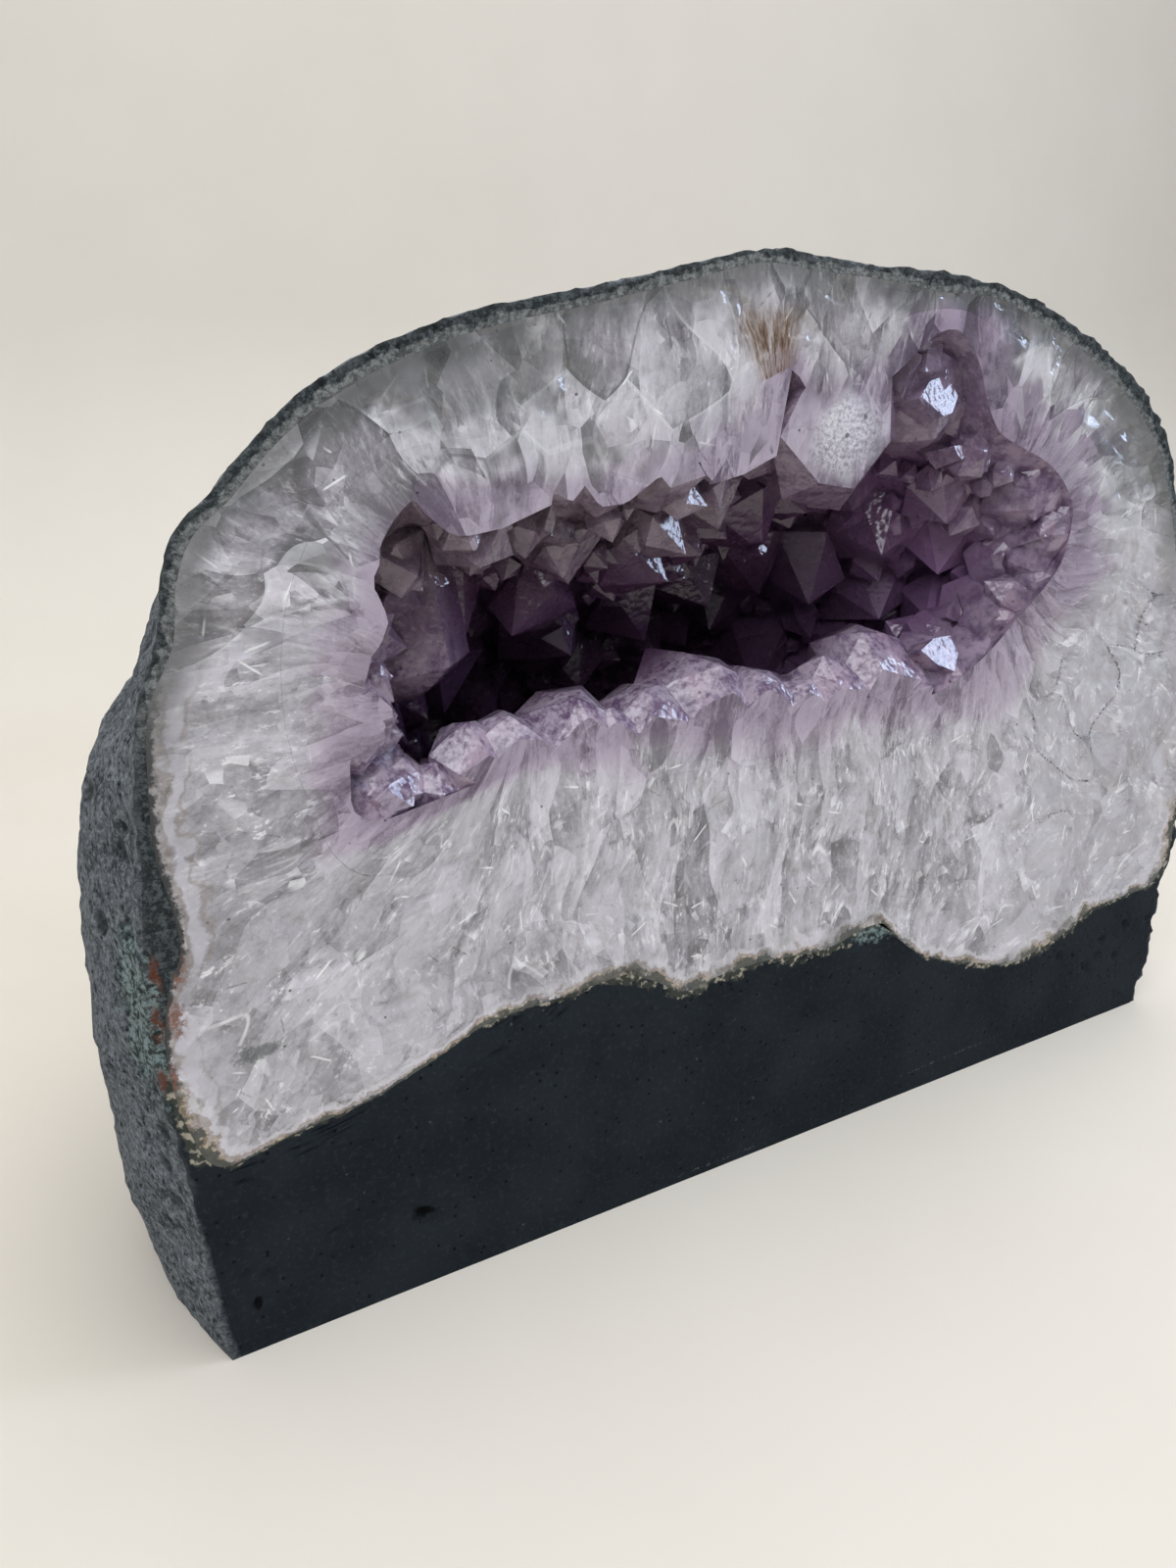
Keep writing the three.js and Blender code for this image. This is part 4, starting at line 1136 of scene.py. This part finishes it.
def quartz_finish():
    f = Finish("quartz")
    milk, clear, rough, height = sawn_quartz(f)
    rim = f.measured("from_rim")
    wobble = f.cloud(f.place, 6, 4)
    # the agate line and the brown crust outside it, along the left and the lower rim only
    left = f.x.rise(24, 4) * f.z.rise(120, 108)
    lower = f.z.rise(66, 56) * f.x.rise(60, 30)
    patchy = f.cloud(f.place, 9, 3).rise(0.36, 0.54)
    banded = left.most(lower * 0.7) * (0.3 + 0.7 * patchy)
    line = rim - 3.6 - 9 * (wobble - 0.5)
    agate = line.size().rise(1.2, 0.6) * banded
    border = (line.size() - 1.5).size().rise(0.5, 0.1) * banded
    milk = f.coats(milk, (agate * 0.7, (0.50, 0.48, 0.53)), (border * 0.5, (0.24, 0.19, 0.165)))
    outer = line.rise(-0.9, -2.0) * left.most(lower * 0.7)
    crust = f.cloud(f.place, 1.7, 4, 0.7)
    tan = f.mix(crust.rise(0.40, 0.60), (0.13, 0.11, 0.10), (0.34, 0.305, 0.29))
    milk = f.mix(outer * 0.65, milk, tan)
    blackened = (rim + 4 * (crust - 0.5)).rise(1.2, 0.4) * outer
    milk = f.mix(blackened, milk, (0.018, 0.022, 0.024))
    # the seam with the foot: a pale line, a brown line, sandy crumbs and dark clay
    foot_side = f.z.rise(58, 50)
    crumb = f.cloud(f.place, 2.6, 4, 0.7)
    ragged = rim + 7 * (crumb - 0.5) + 9 * (wobble - 0.5)
    sandy = f.mix(crust.rise(0.42, 0.6), (0.17, 0.12, 0.07), (0.46, 0.38, 0.27))
    creeping = (ragged + 2 * (crust - 0.5)).rise(6.5, 0.5) * f.z.rise(66, 54) * f.x.rise(60, 90)
    milk = f.coats(
        milk,
        ((ragged - 3.2).size().rise(1.4, 0.5) * foot_side * 0.6, (0.66, 0.64, 0.68)),
        ((ragged - 1.9).size().rise(0.6, 0.2) * foot_side * 0.5, (0.30, 0.22, 0.17)),
        (ragged.rise(1.9, 1.0) * foot_side * patchy * 0.85, sandy),
        (ragged.rise(0.9, 0.2) * foot_side * 0.9, (0.035, 0.045, 0.042)),
        (creeping * (1 - patchy) * 0.75, (0.075, 0.085, 0.08)),
    )
    rusty = 2.5 * (crust - 0.5)
    rust = rust_spots(f, rusty, (0.4, -0.6, -2.0), (1.8, 1.8, 1.7))
    milk = f.mix((rust * crust.rise(0.42, 0.52)).least(1.0) * 0.85, milk, (0.15, 0.05, 0.025))
    moss = f.spot(10, 56.5, 4.5, 1.8, rusty) * 0.7
    milk = f.mix(moss, milk, (0.06, 0.075, 0.07))
    # the brown iron stain above the mouth, which opens upwards
    fan = (f.x - 100.5 + 0.18 * (f.z - 146)) / (f.z - 142).most(1.0)
    iron = fan.size().rise(0.50, 0.22) * f.z.rise(145, 149) * f.z.rise(162, 157)
    streaked = f.cloud(f.vector(fan * 24, f.y, f.z * 0.3), 1.4, 3, 0.7)
    milk = f.mix(iron * 0.45, milk, (0.26, 0.19, 0.13))
    iron = iron * streaked.rise(0.42, 0.58)
    brown = f.mix(streaked.rise(0.52, 0.66), (0.17, 0.095, 0.045), (0.055, 0.03, 0.018))
    milk = f.mix(iron * 0.85, milk, brown)
    # near the rind the quartz is clear, and the dark stone shows through it
    smoky = (rim + 10 * (wobble - 0.5)).rise(7.5, 0.5) * f.z.rise(96, 118)
    milk = f.mix(smoky * 0.7, milk, (0.095, 0.10, 0.10))
    grey = f.spots(1.4 * (wobble - 0.5), (196, 140, 30, 20), (150, 168, 40, 12))
    grey = grey.most(f.spot(45, 152, 30, 9, 1.8 * (wobble - 0.5)))
    milk = f.mix(grey * 0.6, milk, (0.10, 0.105, 0.105))
    surface = clear * (1 - agate) * (1 - outer) * (1 - iron)
    bump = f.relief(height)
    milky = f.principled(Base_Color=milk, Roughness=rough, Normal=bump, IOR=1.54)
    glassy = f.principled(
        Base_Color=(0.94, 0.94, 0.96), Roughness=0.12, Normal=bump, IOR=1.54, Transmission_Weight=1.0
    )
    return f.show(f.node("MixShader", None, {0: surface.most(0.0).least(0.85), 1: milky, 2: glassy}))


def stone_glass(f, milk, rough, height, clear, glass_colour):
    """Milky and clear crystal mixed, with the purple of the stone inside it."""
    bump = f.relief(height)
    milky = f.principled(Base_Color=milk, Roughness=rough, Normal=bump, IOR=1.54)
    glassy = f.principled(
        Base_Color=glass_colour, Roughness=0.05, Normal=bump, IOR=1.54, Transmission_Weight=1.0
    )
    body = f.node("MixShader", None, {0: clear.most(0.0).least(0.95), 1: milky, 2: glassy})
    inside = f.node("VolumeAbsorption", None, {"Color": (0.52, 0.32, 0.62), "Density": 60.0})
    return f.show(body, inside)


def sawn_amethyst_finish():
    f = Finish("sawn_amethyst")
    milk, clear, rough, height = sawn_quartz(f)
    return stone_glass(f, milk, rough, height, clear, (0.94, 0.93, 0.96))


def amethyst_finish():
    f = Finish("amethyst")
    veil = f.cloud(f.place, 4, 4, 0.66)
    mist = f.cloud(f.place, 13, 2)
    grain = f.cloud(f.place, 1.1, 2, 0.7)
    # painted shade: the deeper into the hollow, the darker the colour
    deep = f.y.rise(1, 20)
    low = (f.z.rise(118, 102) * f.y.rise(16, 5)).most(f.x.rise(144, 158) * f.y.rise(18, 4) * 0.9)
    right = f.x.rise(118, 160)
    # purple glass with paler veils. The hollow gets browner towards its middle, and darker there as painted
    # shade deep in the hollow
    near = f.mix((veil + 0.5 * (grain - 0.5)).rise(0.3, 0.7), (0.16, 0.10, 0.17), (0.40, 0.30, 0.41))
    far = f.mix(right, (0.095, 0.043, 0.097), (0.41, 0.235, 0.46))
    far = f.mix(mist.rise(0.35, 0.65) * 0.5, far, (0.19, 0.095, 0.19))
    tone = f.mix(deep, near, far)
    alcove = f.spot(139, 153, 15, 14, 1.2 * (mist - 0.5)) * f.y.rise(26, 12)
    lilac = f.mix(veil.rise(0.3, 0.7), (0.13, 0.085, 0.15), (0.42, 0.33, 0.46))
    tone = f.mix(alcove * 0.8, tone, lilac)
    brownish = f.x.rise(120, 70) * f.z.rise(118, 126) * f.y.rise(30, 12)
    browner = f.mix(veil.rise(0.3, 0.7), (0.11, 0.075, 0.09), (0.37, 0.30, 0.32))
    tone = f.mix(brownish * 0.55, tone, browner)
    grainy = 0.6 - 0.35 * f.x.rise(124, 146)
    pale = f.mix((veil + grainy * (grain - 0.5)).rise(0.30, 0.68), (0.15, 0.09, 0.175), (0.56, 0.48, 0.60))
    glassy = f.mix(veil.rise(0.34, 0.7), (0.13, 0.075, 0.155), (0.40, 0.30, 0.44))
    pale = f.mix(f.x.rise(120, 148) * 0.6, pale, glassy)
    tone = f.mix((low * (0.6 + 0.8 * mist)).least(1.0), tone, pale)
    rosy = (0.5 * veil + 0.5 * mist).rise(0.5, 0.6) * low
    tone = f.mix(rosy * 0.35, tone, (0.55, 0.36, 0.47))
    flecks = f.cells(f.place, 2.1).rise(0.10, 0.05) * grain.rise(0.5, 0.62)
    tone = f.mix(flecks * low * 0.8, tone, (0.80, 0.78, 0.86))
    iron = f.cells(f.place, 3.1).rise(0.13, 0.06) * mist.rise(0.5, 0.6)
    tone = f.mix(iron * 0.8, tone, (0.06, 0.03, 0.02))
    clear = 0.42 + 0.5 * (veil - 0.5) - 0.15 * low
    height = 0.35 * f.cloud(f.place, 3.4, 2, 0.6) + 0.1 * f.cloud(f.place, 1.1, 1)
    return stone_glass(f, tone, 0.16, height, clear, (0.93, 0.88, 0.96))


# Stage, light and camera

STAGE_SIDES, STAGE_SHIFT, STAGE_DROP = (-1400, 1700), 56, 0.02
LENS, SENSOR = 27, 36
CAMERA_PAN, CAMERA_TILT = math.radians(29.09), math.radians(22)

def pale_stage():
    floor_finish = Finish("pale_floor")
    shade = floor_finish.cloud(floor_finish.place, 60, 3)
    colour = floor_finish.mix(shade, (0.655, 0.61, 0.545), (0.70, 0.66, 0.595))
    material = floor_finish.show(floor_finish.principled(Base_Color=colour, Roughness=0.9))
    back, bend, high = 420, 160, 1100  # where the floor rises, in what radius and how high
    profile = [(-900, 0), (back - bend, 0)]
    for k in range(1, 12):
        turn = math.pi / 2 * k / 12
        profile.append((back - bend + bend * math.sin(turn), bend - bend * math.cos(turn)))
    profile += [(back, bend), (back, high)]
    points, faces = [], []
    for i, (y, z) in enumerate(profile):
        points += [(x, y + STAGE_SHIFT, z - STAGE_DROP) for x in STAGE_SIDES]
        if i:
            faces.append((2 * i - 2, 2 * i - 1, 2 * i + 1, 2 * i))
    floor = new_mesh("pale_floor", points, faces)
    floor.data.shade_smooth()
    floor.data.materials.append(material)


def soft_light(name, place, target, width, height, power, colour):
    data = bpy.data.lights.new(name, "AREA")
    data.shape, data.size, data.size_y = "RECTANGLE", width, height
    data.energy, data.color = power, colour
    lamp = bpy.data.objects.new(name, data)
    lamp.location = place
    lamp.rotation_euler = (Vector(target) - Vector(place)).to_track_quat("-Z", "Y").to_euler()
    bpy.context.scene.collection.objects.link(lamp)


def pale_room():
    """A room that is bright above and darker in front of the stone."""
    world = bpy.data.worlds.new("pale_room")
    bpy.context.scene.world = world
    world.use_nodes = True
    tree = world.node_tree
    place = add_node(tree, "ShaderNodeTexCoord", {}, {}, "Generated")
    height = add_node(tree, "ShaderNodeSeparateXYZ", {}, {0: place}, "Z")
    strength = add_node(tree, "ShaderNodeMapRange", {"interpolation_type": "SMOOTHSTEP"}, {
        "Value": height, "From Min": 0.05, "From Max": 0.85, "To Min": 0.16, "To Max": 0.68,
    })
    background = tree.nodes["Background"]
    background.inputs["Color"].default_value = (0.94, 0.95, 0.95, 1)
    tree.links.new(strength, background.inputs["Strength"])


def light_and_camera():
    pale_room()
    soft_light("window", (-0.55, -0.50, 0.75), (0, 0, 0.08), 0.6, 0.6, 4.6, (0.93, 0.96, 1.0))
    soft_light("ceiling", (0.15, -0.05, 0.95), (0, 0, 0.05), 0.9, 0.7, 5, (1.0, 0.99, 0.97))
    soft_light("second_window", SECOND_WINDOW, (0.02, -0.05, 0.11), 0.22, 0.35, 2.4, (0.62, 0.76, 1.0))
    data = bpy.data.cameras.new("camera")
    data.lens, data.sensor_width, data.sensor_fit = LENS, SENSOR, "AUTO"
    camera = bpy.data.objects.new("camera", data)
    camera.location = (Vector(FOOT_CORNER) + Vector(CAMERA_FROM_CORNER)) * MM
    level = math.cos(CAMERA_TILT)
    ahead = Vector((math.sin(CAMERA_PAN) * level, math.cos(CAMERA_PAN) * level, -math.sin(CAMERA_TILT)))
    camera.rotation_euler = ahead.to_track_quat("-Z", "Y").to_euler()
    bpy.context.scene.collection.objects.link(camera)
    bpy.context.scene.camera = camera


def build():
    scene = bpy.context.scene
    scene.view_settings.view_transform = "Standard"
    scene.cycles.max_bounces, scene.cycles.transmission_bounces = 5, 4
    scene.cycles.diffuse_bounces, scene.cycles.glossy_bounces = 2, 2
    scene.cycles.use_adaptive_sampling, scene.cycles.adaptive_threshold = True, 0.05
    basalt = basalt_matrix()
    basalt.data.materials.append(basalt_finish())
    quartz = quartz_band()
    quartz.data.materials.append(quartz_finish())
    amethyst = amethyst_crust(amethyst_finish(), sawn_amethyst_finish())
    for piece, node, slot in (
        (basalt, "basalt_matrix", "basalt"),
        (quartz, "quartz_band", "quartz"),
        (amethyst, "amethyst_crust", "amethyst"),
    ):
        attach(piece, "root")
        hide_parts(node)


pale_stage()
light_and_camera()
build()
